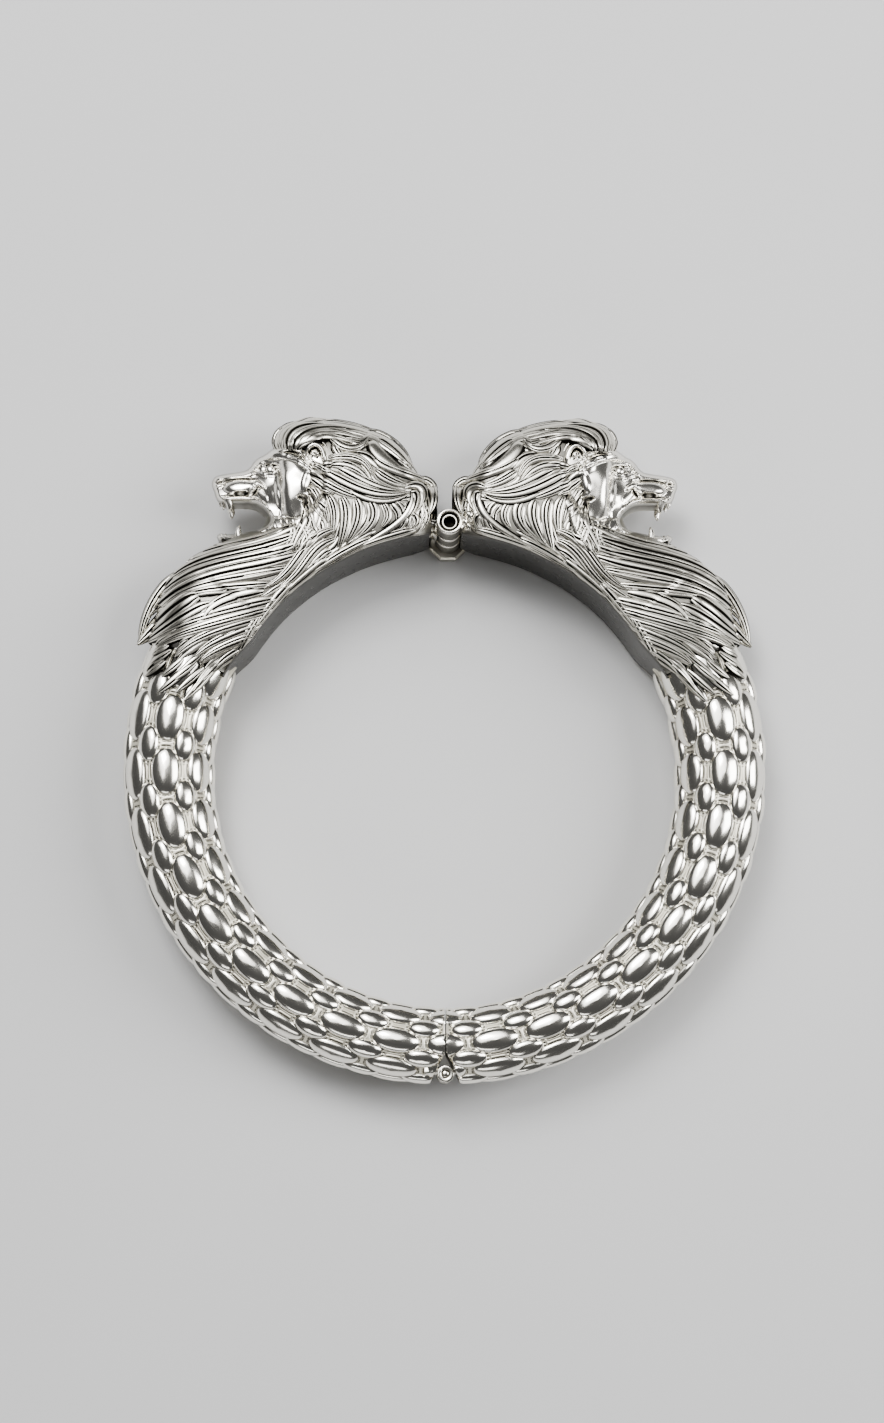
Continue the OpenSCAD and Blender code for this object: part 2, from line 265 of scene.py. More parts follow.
def silver(name, bright, dark, smooth, rough, hairlines, bump):
    made = bpy.data.materials.new(name)
    made.use_nodes = True
    tree = made.node_tree
    shader = tree.nodes["Principled BSDF"]
    shader.inputs["Metallic"].default_value = 1.0
    recess = joined(tree, "ShaderNodeAttribute", {}, attribute_name="recess")
    tone = joined(tree, "ShaderNodeGroup", {
        "Patina and Shade": recess.outputs["Fac"], "Bright": (*bright, 1), "Dark": (*dark, 1),
        "Cloud Scale": CLOUD_SCALE, "Cloud Amount": CLOUD_AMOUNT, "Smooth": smooth, "Rough": rough,
    }, node_tree=TONE)
    marks = joined(tree, "ShaderNodeGroup", {"Hairlines": hairlines}, node_tree=POLISH)
    relief = joined(tree, "ShaderNodeBump", {
        "Strength": bump, "Distance": MARK_DEPTH, "Height": marks.outputs["Height"]})
    roughness = multiply_add(
        tree, marks.outputs["Streaks"], STREAK_ROUGHNESS, tone.outputs["Roughness"])
    wired(tree, tone.outputs["Color"], shader.inputs["Base Color"])
    wired(tree, roughness, shader.inputs["Roughness"])
    wired(tree, relief.outputs["Normal"], shader.inputs["Normal"])
    return made


# name, bright colour, dark colour of patina and painted shade, roughness on crests and in grooves,
# hairlines, bump
SCALE_SILVER = silver(
    "polished scale silver", (0.95, 0.925, 0.855), (0.02, 0.019, 0.016), 0.14, 0.4, 0.3, 0.3)
WEB_SILVER = silver(
    "cream web silver", (0.84, 0.805, 0.70), (0.02, 0.019, 0.015), 0.42, 0.5, 0.4, 0.4)
HAIR_SILVER = silver(
    "cast hair silver", (0.80, 0.775, 0.70), (0.01, 0.009, 0.007), 0.22, 0.5, 0.5, 0.4)
FACE_SILVER = silver(
    "polished face silver", (0.95, 0.925, 0.86), (0.03, 0.028, 0.023), 0.18, 0.45, 0.3, 0.3)
# The inner wall is the same silver, with its colour painted nearly black as shade, since it lies
# in shade.
SHADED_WALL_SILVER = silver(
    "wall silver with painted shade", (0.09, 0.086, 0.078), (0.05, 0.047, 0.042), 0.24, 0.5, 0.9, 0.6)
TURNED_SILVER = silver(
    "turned silver", (0.92, 0.89, 0.81), (0.12, 0.11, 0.09), 0.15, 0.5, 0.6, 0.5)
print("silver finishes 6")

# %% [markdown]
# ## Floor
#
# The bangle lies on a plain pale sheet. One flat colour would look painted on, so a faint cloud of
# noise varies it a little, and a high roughness keeps the sheet from mirroring the silver.

# %% Floor
FLOOR_REACH = 2       # metres
FLOOR_TINT = (0.63, 0.69)


def floor_material():
    made = bpy.data.materials.new("pale floor")
    made.use_nodes = True
    tree = made.node_tree
    shader = tree.nodes["Principled BSDF"]
    cloud = joined(tree, "ShaderNodeTexNoise", {
        "Vector": object_place(tree), "Scale": 9.0, "Detail": 5.0})
    tint = joined(tree, "ShaderNodeMapRange", {
        "Value": cloud.outputs["Fac"], "To Min": FLOOR_TINT[0], "To Max": FLOOR_TINT[1]})
    wired(tree, tint.outputs[0], shader.inputs["Base Color"])
    shader.inputs["Roughness"].default_value = 0.85
    return made


floor_mesh = bpy.data.meshes.new("floor")
floor_mesh.from_pydata(
    [(FLOOR_REACH * x, FLOOR_REACH * y, 0) for x, y in ((-1, -1), (1, -1), (1, 1), (-1, 1))],
    [], [(0, 1, 2, 3)])
floor_mesh.materials.append(floor_material())
floor = bpy.data.objects.new("floor", floor_mesh)
bpy.context.scene.collection.objects.link(floor)
print("floor ready")

# %% [markdown]
# ## A casting tray
#
# All meshes are gathered in a tray as numbered points and quads, together with their recess
# values, and poured once as one object. Modifiers could shape much of this too, but the tone needs
# a number on every point, and here it is worked out together with the point. A patch laid on the
# upper side can be doubled below the middle plane, because both sides of the bangle are alike.

# %% Casting tray
HALVES = [("right", 1), ("left", -1)]


class Tray:
    def __init__(self):
        self.points, self.faces, self.recess, self.count = [], [], [], 0

    def add(self, points, faces, recess, outward=None):
        points = np.asarray(points, float).reshape(-1, 3)
        faces = np.asarray(faces, int)
        if outward is not None:
            corner = points[faces[:, :3]]
            normal = np.cross(corner[:, 1] - corner[:, 0], corner[:, 2] - corner[:, 0])
            if (normal * outward(points[faces].mean(1))).sum() < 0:
                faces = faces[:, ::-1]
        self.points.append(points)
        self.faces.append(faces + self.count)
        self.recess.append(np.broadcast_to(np.asarray(recess, float).ravel(), len(points)))
        self.count += len(points)

    def add_twice(self, points, faces, recess, outward):
        below = (1, 1, -1)
        self.add(points, faces, recess, outward)
        self.add(np.asarray(points, float).reshape(-1, 3) * below, np.asarray(faces)[:, ::-1],
                 recess, lambda m: outward(m * below) * below)

    def pour(self, name, side, material, body, node):
        points = np.concatenate(self.points)
        faces = np.concatenate(self.faces)
        if side < 0:
            points = points * (-1, 1, 1)
            faces = faces[:, ::-1]
        mesh = bpy.data.meshes.new(name)
        mesh.from_pydata(((points + (0, 0, MIDDLE)) * MM).tolist(), [], faces.tolist())
        tone = mesh.attributes.new("recess", "FLOAT", "POINT")
        tone.data.foreach_set("value", np.concatenate(self.recess))
        mesh.shade_smooth()
        mesh.materials.append(material)
        piece = bpy.data.objects.new(name, mesh)
        bpy.context.scene.collection.objects.link(piece)
        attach(piece, body)
        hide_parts(node)
        print(name, len(points), "points", len(faces), "faces")
        return piece


def pour_halves(tray, name, material):
    for half, side in HALVES:
        tray.pour(f"{name}_{half}", side, material, half, half + "_half")


def grid_faces(rows, columns, closed=False):
    i, j = np.meshgrid(
        np.arange(rows - 1), np.arange(columns if closed else columns - 1), indexing="ij")
    a = i * columns + j
    b = i * columns + (j + 1) % columns
    return np.stack([a, b, b + columns, a + columns], -1).reshape(-1, 4)


def facing(x, y, z):
    return lambda middles: np.array([x, y, z], float) + 0 * middles


print("tray ready")

# %% [markdown]
# ## Scaled tube
#
# Half the ring is a tube that swells from the hinge toward the head. Its domed scales stand in
# fourteen columns, large and small by turns, and flat cream metal shows between them. A bumpy
# texture would lose the crisp edge of each dome, so every scale is a cap of its own, with a line
# of painted shade and patina round its foot and a thin raised collar outside that line.

# %% Tube web
TUBE_BACK, TUBE_FRONT = 5.1, 6.3        # radius at the hinge and at the head, over the domes
SWELL_TURN, TUBE_END = 110, 127         # degrees from the hinge
DOME = 0.8                              # height of a dome over the web
COLUMNS = 14
NOTCH_START, NOTCH_TAN = 37.4, math.tan(math.radians(26))
SPLIT = 0.1
END_RIM, END_RIM_TURN = 0.42, 0.7       # height and width of the rim beside the split


def ease(x):
    x = np.clip(x, 0, 1)
    return x * x * (3 - 2 * x)


def tube_radius(turn):
    return TUBE_BACK + (TUBE_FRONT - TUBE_BACK) * ease(turn / SWELL_TURN)


def tube_point(turn, round_it, lift):
    turn, round_it, lift = np.broadcast_arrays(turn, round_it, lift)
    r = tube_radius(turn) + lift
    out = RING + r * np.cos(np.radians(round_it))
    x = out * np.sin(np.radians(turn))
    y = -out * np.cos(np.radians(turn))
    x = np.maximum(x, SPLIT)
    x = np.maximum(x, (-y - NOTCH_START) * NOTCH_TAN)
    return np.stack([x, y, r * np.sin(np.radians(round_it))], -1)


def from_tube_middle(points):
    turn = np.arctan2(points[:, 0], -points[:, 1])
    centre = np.stack([RING * np.sin(turn), -RING * np.cos(turn), 0 * turn], -1)
    return points - centre


web = Tray()
turns = np.concatenate([[0.16, 0.3, 0.62, 0.72, 0.8], np.linspace(1.1, TUBE_END, 190)])
around = np.linspace(0, 360, 84, endpoint=False)
rim = np.where(turns < END_RIM_TURN, END_RIM, 0.0)
T, A = np.meshgrid(turns, around, indexing="ij")
lift = -DOME + rim[:, None] + 0.03 * np.cos(np.radians(A * COLUMNS))
# a ring in the groove beside the end rim is painted dark as shade and patina
groove_shade = np.where(np.abs(turns - 0.76) < 0.08, 0.8, 0.0)[:, None] + 0 * A
web.add(tube_point(T, A, lift), grid_faces(len(turns), len(around), True), groove_shade,
        from_tube_middle)
print("web points", web.count)

# %% End plate at the split
PLATE_RINGS = np.array([
    # share of the radius, painted shade, dark just inside the rim and on the inner face of the
    # plate
    [1, 0], [0.93, 0.2], [0.9, 0.7], [0.6, 0.4], [0.3, 0.4], [0.02, 0.4],
])
plate_r = (tube_radius(0.0) - DOME + END_RIM) * PLATE_RINGS[:, 0]
S, A = np.meshgrid(plate_r, around, indexing="ij")
y = -(RING + S * np.cos(np.radians(A)))
x = np.maximum(SPLIT + 0.05 * (S < plate_r[1] - 0.01), (-y - NOTCH_START) * NOTCH_TAN)
web.add(np.stack([x, y, S * np.sin(np.radians(A))], -1),
        grid_faces(len(plate_r), len(around), True), PLATE_RINGS[:, 1:] + 0 * S, facing(-1, 0, 0))
print("end plate rings", len(PLATE_RINGS))

# %% Scales
DOME_RINGS = np.array([
    # share of the outline, height over the web as a share of the dome, painted shade and patina,
    # dark at the foot
    [0.002, 1.0, 0.0], [0.3, 0.965, 0.0], [0.55, 0.86, 0.0], [0.74, 0.70, 0.0], [0.88, 0.47, 0.0],
    [0.96, 0.22, 0.3], [1.0, -0.06, 1.0],
])
# the collar is painted dark as shade and patina where it meets the dome and at its outer foot
COLLAR_RINGS = np.array([
    [1.0, -0.06, 1.0], [1.05, 0.08, 0.5], [1.09, 0.17, 0.0], [1.15, 0.15, 0.0],
    [1.22, -0.08, 0.35],
])
PITCH, FIRST, ROWS = 11.15, 10.1, 11    # degrees along the ring, and scales in a column
STEP = 360 / COLUMNS
# half length, half width, power of the outline, corners of the outline
LARGE = (0.452 * PITCH, 0.415 * 2 * STEP, 2.2, 26)
SMALL = (0.33 * PITCH, 0.315 * 2 * STEP, 2.1, 22)
WALL_TURN, WALL_COLUMNS = 113, (3, 4, 5)      # these columns end where the inner wall begins


def scale_cap(tray, turn, round_it, long_half, wide_half, power, corners):
    angle = np.linspace(0, 2 * np.pi, corners, endpoint=False)
    c, s = np.cos(angle), np.sin(angle)
    reach = (np.abs(c) ** power + np.abs(s) ** power) ** (-1 / power)
    for part, rings in ((tray, DOME_RINGS), (web, COLLAR_RINGS)):
        t = turn + rings[:, :1] * (reach * c) * long_half
        p = round_it + rings[:, :1] * (reach * s) * wide_half
        lift = -DOME + DOME * rings[:, 1:2] + 0 * t
        part.add(tube_point(t, p, lift), grid_faces(len(rings), corners, True),
                 rings[:, 2:3] + 0 * t, from_tube_middle)


scales = Tray()
for column in range(COLUMNS):
    large = column % 2 == 0
    for k in range(-1 if large else 0, ROWS):
        turn = FIRST + PITCH * (k if large else k - 0.5)
        if turn > WALL_TURN and column in WALL_COLUMNS:
            continue
        scale_cap(scales, turn, 90 + STEP * column, *(LARGE if large else SMALL))
pour_halves(scales, "scales", SCALE_SILVER)
pour_halves(web, "tube_web", WEB_SILVER)

# %% [markdown]
# ## Form of the head
#
# The head is thought of as a hill seen from above: a height over the middle plane for each point
# across (u) and up (v). The mane is a swept body described by a few rows, the crown is half an
# ellipsoid, the face is a map blended from spot heights inside its rim, and beyond the mane the
# tube carries the tips of the beard. Sculpting by hand could give the same hill, but a formula can
# be asked for its slope, so one function lays every lock of hair on it.

# %% Helpers for outlines
def polygon_distance(u, v, corners):
    corners = np.asarray(corners, float)
    best = np.full(np.shape(u), 1e6)
    inside = np.zeros(np.shape(u), bool)
    for a, b in zip(corners, np.roll(corners, -1, axis=0)):
        ab = b - a
        h = np.clip(((u - a[0]) * ab[0] + (v - a[1]) * ab[1]) / (ab @ ab), 0, 1)
        best = np.minimum(best, (u - a[0] - h * ab[0]) ** 2 + (v - a[1] - h * ab[1]) ** 2)
        crosses = (a[1] > v) != (b[1] > v)
        inside ^= crosses & (u < (b[0] - a[0]) * (v - a[1]) / (b[1] - a[1] + 1e-12) + a[0])
    return np.sqrt(best) * np.where(inside, -1, 1)


def rounded(path, closed=False):
    path = np.asarray(path, float)
    for turn in range(2):
        a, b = (path, np.roll(path, -1, axis=0)) if closed else (path[:-1], path[1:])
        cut = np.stack([0.75 * a + 0.25 * b, 0.25 * a + 0.75 * b], 1).reshape(-1, 2)
        path = cut if closed else np.concatenate([path[:1], cut[1:-1], path[-1:]])
    return path


def upright(r, angle, z):
    return np.stack([r * np.sin(np.radians(angle)), r * np.cos(np.radians(angle)), z], -1)


print("outline helpers ready")

# %% [markdown]
# ## From the picture to the bangle
#
# The tables are read off the picture in squares of 7.5 pixels across and 7.4 up, counted from the
# middle of the ring. Whatever stands above the middle plane looks shifted there, so a table place
# could be a millimetre off. The camera's ray through the place is therefore followed down to the
# height that the head has there, and a few rounds of this find the true place.

# %% Picture and place
SHIFT_U, SHIFT_V, SQUEEZE = 0.4, 7.573, 0.98667
ROUNDS = 4


def seen_from(u, v, z):
    across, up = SHIFT_U - u, SQUEEZE * v - SHIFT_V
    ray_x, ray_y, ray_z = [
        across * picture_right[i] + up * picture_up[i] - DISTANCE * direction[i] for i in range(3)]
    far = (MIDDLE + z - eye_point[2]) / ray_z
    return -(eye_point[0] + far * ray_x), eye_point[1] + far * ray_y


def as_pictured(u, v, z):
    ray = [-u - eye_point[0], v - eye_point[1], z + MIDDLE - eye_point[2]]
    side, lift, far = [
        sum(r * axis[i] for i, r in enumerate(ray))
        for axis in (picture_right, picture_up, direction)]
    return SHIFT_U + DISTANCE * side / far, (SHIFT_V - DISTANCE * lift / far) / SQUEEZE


def from_picture(u, v, height):
    true_u, true_v = u, v
    for again in range(ROUNDS):
        true_u, true_v = seen_from(u, v, height(true_u, true_v))
    return true_u, true_v


print("shift at 6 mm", [round(float(c), 2) for c in seen_from(20, 40, 6)])

# %% Mane
MANE = np.array([
    # angle from the clasp, inner radius, outer radius, half thickness
    [3.6, 31.2, 37.3, 4.8], [5.4, 30.9, 39.9, 5.6], [8, 30.7, 43.8, 6.5], [14, 30.6, 47.3, 6.8],
    [21, 30.5, 50.5, 6.7], [25.5, 30.4, 50.8, 6.5], [27.6, 30.4, 49.2, 6.4],
    [32, 30.4, 42.8, 6.4], [37, 30.4, 40.5, 6.5], [45, 30.4, 42.6, 6.6], [54, 30.3, 44.5, 6.7],
    [62, 30.3, 44.1, 6.7], [67, 30.3, 43.0, 6.5],
])
MANE_END = 67
TAPER_FROM, TAPER_LENGTH = 57, 11     # degrees, where the mane thins out over the tube
FLAT_TO, FLATNESS = 0.3, 0.98     # the share of the width that is nearly flat, and its height
angles = MANE[:, 0]
MANE[:, 2] = np.hypot(*seen_from(*upright(MANE[:, 2], angles, 0 * angles)[:, :2].T, 0))
mane_angles = np.linspace(angles[0], angles[-1], 260)
window = np.hanning(13) / np.hanning(13).sum()
mane_curves = [
    np.convolve(
        np.pad(np.interp(mane_angles, angles, column), 6, mode="edge"), window, "valid")
    for column in MANE[:, 1:].T
]


def mane_row(angle):
    inner, outer, half = (np.interp(angle, mane_angles, curve) for curve in mane_curves)
    end = ease((np.asarray(angle) - TAPER_FROM) / TAPER_LENGTH)
    return [inner + 1.2 * end, outer - 1.7 * end, half - 1.4 * end]


def mane_section(s):
    low = FLATNESS - 0.14 * (1 - np.clip(s, 0, FLAT_TO) / FLAT_TO) ** 2
    fall = np.clip((s - FLAT_TO) / (1 - FLAT_TO), 0, 1)
    return np.where(s < FLAT_TO, low, FLATNESS * np.sqrt(np.clip(1 - fall ** 3, 0, 1)))


def face_dip(u, v):
    # the mane body sinks under the face
    return 1 - 0.45 * ease((1.12 - np.hypot((u - 23.0) / 6.9, (v - 37.8) / 6.4)) / 0.24)


print("mane rows", len(MANE))

# %% Level of the face
LEVELS = np.array([
    # across, up, height over the middle plane
    [31.0, 38.5, 1.5], [30.2, 39.2, 1.5], [30.0, 37.2, 2.1], [29.0, 36.4, 2.5],
    [28.2, 39.5, 2.1], [26.3, 39.7, 2.3], [28.0, 38.0, 2.3], [26.5, 37.2, 2.4],
    [26.2, 36.3, 2.55], [25.0, 38.5, 2.9], [25.2, 40.3, 2.4], [24.6, 36.6, 3.2],
    [25.4, 41.2, 2.0], [24.3, 42.0, 2.8], [23.3, 40.4, 3.5], [23.5, 38.7, 3.5],
    [22.9, 42.4, 4.0], [22.6, 37.0, 4.4], [23.2, 35.0, 3.9], [22.3, 34.0, 4.4],
    [21.2, 42.9, 4.9], [21.2, 41.6, 5.0], [20.3, 39.5, 5.2], [20.3, 37.2, 5.2],
    [20.1, 35.0, 5.0], [20.0, 43.6, 5.6], [21.8, 43.7, 5.0], [18.5, 41.8, 5.8],
    [17.2, 43.3, 6.1], [17.2, 41.5, 6.1], [16.0, 42.5, 6.0], [18.4, 38.2, 5.4],
    [18.4, 36.0, 5.2], [18.8, 33.6, 5.6], [17.0, 36.0, 5.6], [16.0, 39.0, 5.9],
    [20.0, 31.4, 5.6], [22.0, 32.2, 5.0], [24.0, 31.7, 3.9], [26.0, 31.0, 3.1],
    [28.0, 30.7, 2.7], [30.0, 31.0, 2.0], [26.0, 29.6, 3.8], [22.0, 29.6, 5.2],
    [18.0, 30.0, 5.8],
])
RIM = rounded([
    (30.85, 39.25), (31.1, 38.6), (31.05, 38.0), (30.75, 37.3), (30.6, 36.6), (30.1, 35.9),
    (29.2, 35.7), (27.6, 35.72), (25.6, 35.72), (24.6, 35.3), (23.8, 34.6), (23.35, 33.8),
    (23.5, 33.1), (24.5, 32.4), (26.0, 32.0), (27.6, 31.75), (28.8, 31.6), (30.1, 31.75),
    (30.6, 31.2), (29.6, 30.3), (27.6, 29.4), (24.4, 28.8), (20.4, 28.6), (17.4, 29.6),
    (16.2, 33.0), (15.1, 36.5), (14.8, 40.0), (14.8, 42.6), (15.6, 44.6), (17.4, 45.3),
    (20.0, 44.6), (22.3, 43.5), (23.3, 42.95), (24.1, 42.3), (24.9, 41.95), (25.5, 41.4),
    (25.9, 40.75), (26.5, 40.2), (27.6, 40.0), (29.2, 39.78), (30.3, 39.55),
], closed=True)
RIM_ROLL = 0.7
BLEND = 1.3         # a wider blend gives a softer face
MAP_U, MAP_V, MAP_STEP, MAP_COLUMNS, MAP_ROWS = 13.4, 26.0, 0.15, 130, 140


def level_at(u, v):
    weight = [
        np.exp(-((u - a) ** 2 + (v - b) ** 2) / BLEND) + 1e-9 for a, b, z in LEVELS]
    return sum(w * z for w, z in zip(weight, LEVELS[:, 2])) / sum(weight)


map_u, map_v = np.meshgrid(
    MAP_U + MAP_STEP * np.arange(MAP_COLUMNS), MAP_V + MAP_STEP * np.arange(MAP_ROWS),
    indexing="ij")
map_z = np.full(map_u.shape, 5.0)
for again in range(ROUNDS):
    pictured = as_pictured(map_u, map_v, map_z)
    map_z = level_at(*pictured)
face_map = map_z * np.sqrt(np.clip(-polygon_distance(*pictured, RIM) / RIM_ROLL, 0, 1))


def face_height(u, v):
    x = np.clip((np.asarray(u) - MAP_U) / MAP_STEP, 0, MAP_COLUMNS - 1.001)
    y = np.clip((np.asarray(v) - MAP_V) / MAP_STEP, 0, MAP_ROWS - 1.001)
    i, j = x.astype(int), y.astype(int)
    x, y = x - i, y - j
    return ((face_map[i, j] * (1 - x) + face_map[i + 1, j] * x) * (1 - y)
            + (face_map[i, j + 1] * (1 - x) + face_map[i + 1, j + 1] * x) * y)


print("highest level", face_map.max().round(2))

# %% Height of the head
CROWN_PLACE, CROWN_HALF, CROWN_HEIGHT = (18.6, 42.2), (5.0, 4.9), 6.5
TUBE_FROM = 52            # the tube counts beyond this angle from the clasp
STEEPEST = 2.5


def head_height(u, v):
    angle = np.degrees(np.arctan2(u, v))
    r = np.hypot(u, v)
    inner, outer, half = mane_row(angle)
    s = (r - inner) / (outer - inner)
    mane = np.where(s > 1, 0, half * mane_section(np.clip(s, 0, 1)))
    mane = mane * np.clip(1 - (angle - MANE_END) / 5, 0, 1) * face_dip(u, v)
    over = tube_radius(180 - angle)
    tube = np.sqrt(np.clip(over ** 2 - (r - RING) ** 2, 0, None)) * (angle > TUBE_FROM)
    x, y = ((c - at) / reach for c, at, reach in zip((u, v), CROWN_PLACE, CROWN_HALF))
    crown = CROWN_HEIGHT * np.sqrt(np.clip(1 - x ** 2 - y ** 2, 0, 1))
    return (mane ** 8 + tube ** 8 + face_height(u, v) ** 8 + crown ** 8) ** 0.125


def on_head(u, v, raise_by):
    # the point raised along the slope's normal, which is kept from lying down on steep sides
    e = 0.08
    z = head_height(u, v)
    du = (head_height(u + e, v) - head_height(u - e, v)) / (2 * e)
    dv = (head_height(u, v + e) - head_height(u, v - e)) / (2 * e)
    hold = np.minimum(1, STEEPEST / np.maximum(np.sqrt(du ** 2 + dv ** 2), 1e-6))
    normal = np.stack([-du * hold, -dv * hold, np.ones_like(z)], -1)
    normal /= np.linalg.norm(normal, axis=-1, keepdims=True)
    return np.stack([u, v, z], -1) + normal * raise_by[..., None], normal


print("height of the crown", head_height(*np.array(CROWN_PLACE)).round(2))

# %% [markdown]
# ## Body of the mane and inner wall
#
# Under the hair lies a plain swept body, so that no gap between two locks lets light through, and
# a flat wall faces the wrist. Along the outer side, where locks laid from above can't reach, rows
# of fine hair are waved strips. A texture could stand in for them, but it would leave the outline
# of the bangle smooth where it is seen from the side.

# %% Mane body
MANE_CORE = 37      # radius of the middle line of the mane
body_angles = np.linspace(3.6, 67.6, 120)[:, None]
fall = 1 - np.cos(np.linspace(0, np.pi / 2, 16)) ** 1.2
section = np.concatenate([np.linspace(0, FLAT_TO, 5)[:-1], FLAT_TO + (1 - FLAT_TO) * fall])
loop_s = np.concatenate([section, section[-2::-1]])
loop_z = np.concatenate([mane_section(section), -mane_section(section[-2::-1])])
inner, outer, half = mane_row(body_angles)
radius = inner + loop_s * (outer - inner)
body_points = upright(radius, body_angles, half * loop_z)
body_points[..., 2] *= face_dip(body_points[..., 0], body_points[..., 1])


def from_mane_middle(points):
    angle = np.degrees(np.arctan2(points[:, 0], points[:, 1]))
    return points - upright(MANE_CORE + 0 * angle, angle, 0 * angle)


mane_body = Tray()
# the body is painted half dark as shade, because it shows only in the gaps between locks; the lids
# are painted dark as shade too, most at the end over the tube
mane_body.add(body_points, grid_faces(*radius.shape), 0.5, from_mane_middle)
for loop, shares, recess, outward in (
        (body_points[0], (1, 0.93, 0.6, 0.3, 0.05), 0.3, facing(-1, 0.1, 0)),
        (body_points[-1], (1, 0.85, 0.6), 0.8, facing(1, -2, 0))):
    middle = loop.mean(0)
    lid = np.stack([middle + (loop - middle) * share for share in shares])
    mane_body.add(lid, grid_faces(len(shares), len(loop), True), recess, outward)
pour_halves(mane_body, "mane_body", HAIR_SILVER)

# %% Side hair
def side_hair(tray, angles, levels, phase_of):
    angle, level = np.meshgrid(angles, levels, indexing="ij")
    inner, outer, half = mane_row(angle)
    s = FLAT_TO + (1 - FLAT_TO) * np.cbrt(1 - np.clip(level / FLATNESS, -1, 1) ** 2)
    phase = phase_of(angle, level)
    across = np.abs(2 * (phase - np.floor(phase)) - 1)
    fade = np.clip(5 * (1 - np.abs(level / levels[-1])), 0, 1)
    lift = (0.04 + 0.2 * np.sqrt(1 - 0.98 * across ** 2.4)) * fade - 0.1 * (1 - fade)
    points = upright(inner + s * (outer - inner) + lift, angle, half * level)
    # the valleys between the waved strips are painted dark as shade and patina
    tray.add(points, grid_faces(*angle.shape), np.clip((across - 0.5) / 0.35, 0, 1),
             from_mane_middle)


def crown_phase(angle, level):
    return 5.6 * level + 0.8 * np.sin(angle / 5.5) + 0.45 * np.sin(angle / 2.3 + 2 * level)


def beard_phase(angle, level):
    return angle + 1.4 * level ** 2 + 0.3 * np.sin(angle / 2 + 2 * level)


outer_hair = Tray()
side_hair(outer_hair, np.linspace(4.6, 25.5, 60), np.linspace(-0.8, 0.8, 73), crown_phase)
side_hair(outer_hair, np.linspace(45, 66.8, 190), np.linspace(-0.85, 0.85, 29), beard_phase)
pour_halves(outer_hair, "side_hair", HAIR_SILVER)

# %% Inner wall
WALL_SHARE, WALL_PROUD, WALL_ROLL = 0.87, 0.06, 0.16
wall = Tray()
wall_angles = np.linspace(3.9, 68.5, 130)[:, None]
inner, outer, half = mane_row(wall_angles)
edge = np.linspace(-1, 1, 25)
wall_r = inner - WALL_PROUD + WALL_ROLL * np.abs(edge) ** 14
wall.add(upright(wall_r, wall_angles, WALL_SHARE * half * edge), grid_faces(*wall_r.shape), 0.0,
         lambda m: -m * (1, 1, 0))
pour_halves(wall, "inner_wall", SHADED_WALL_SILVER)
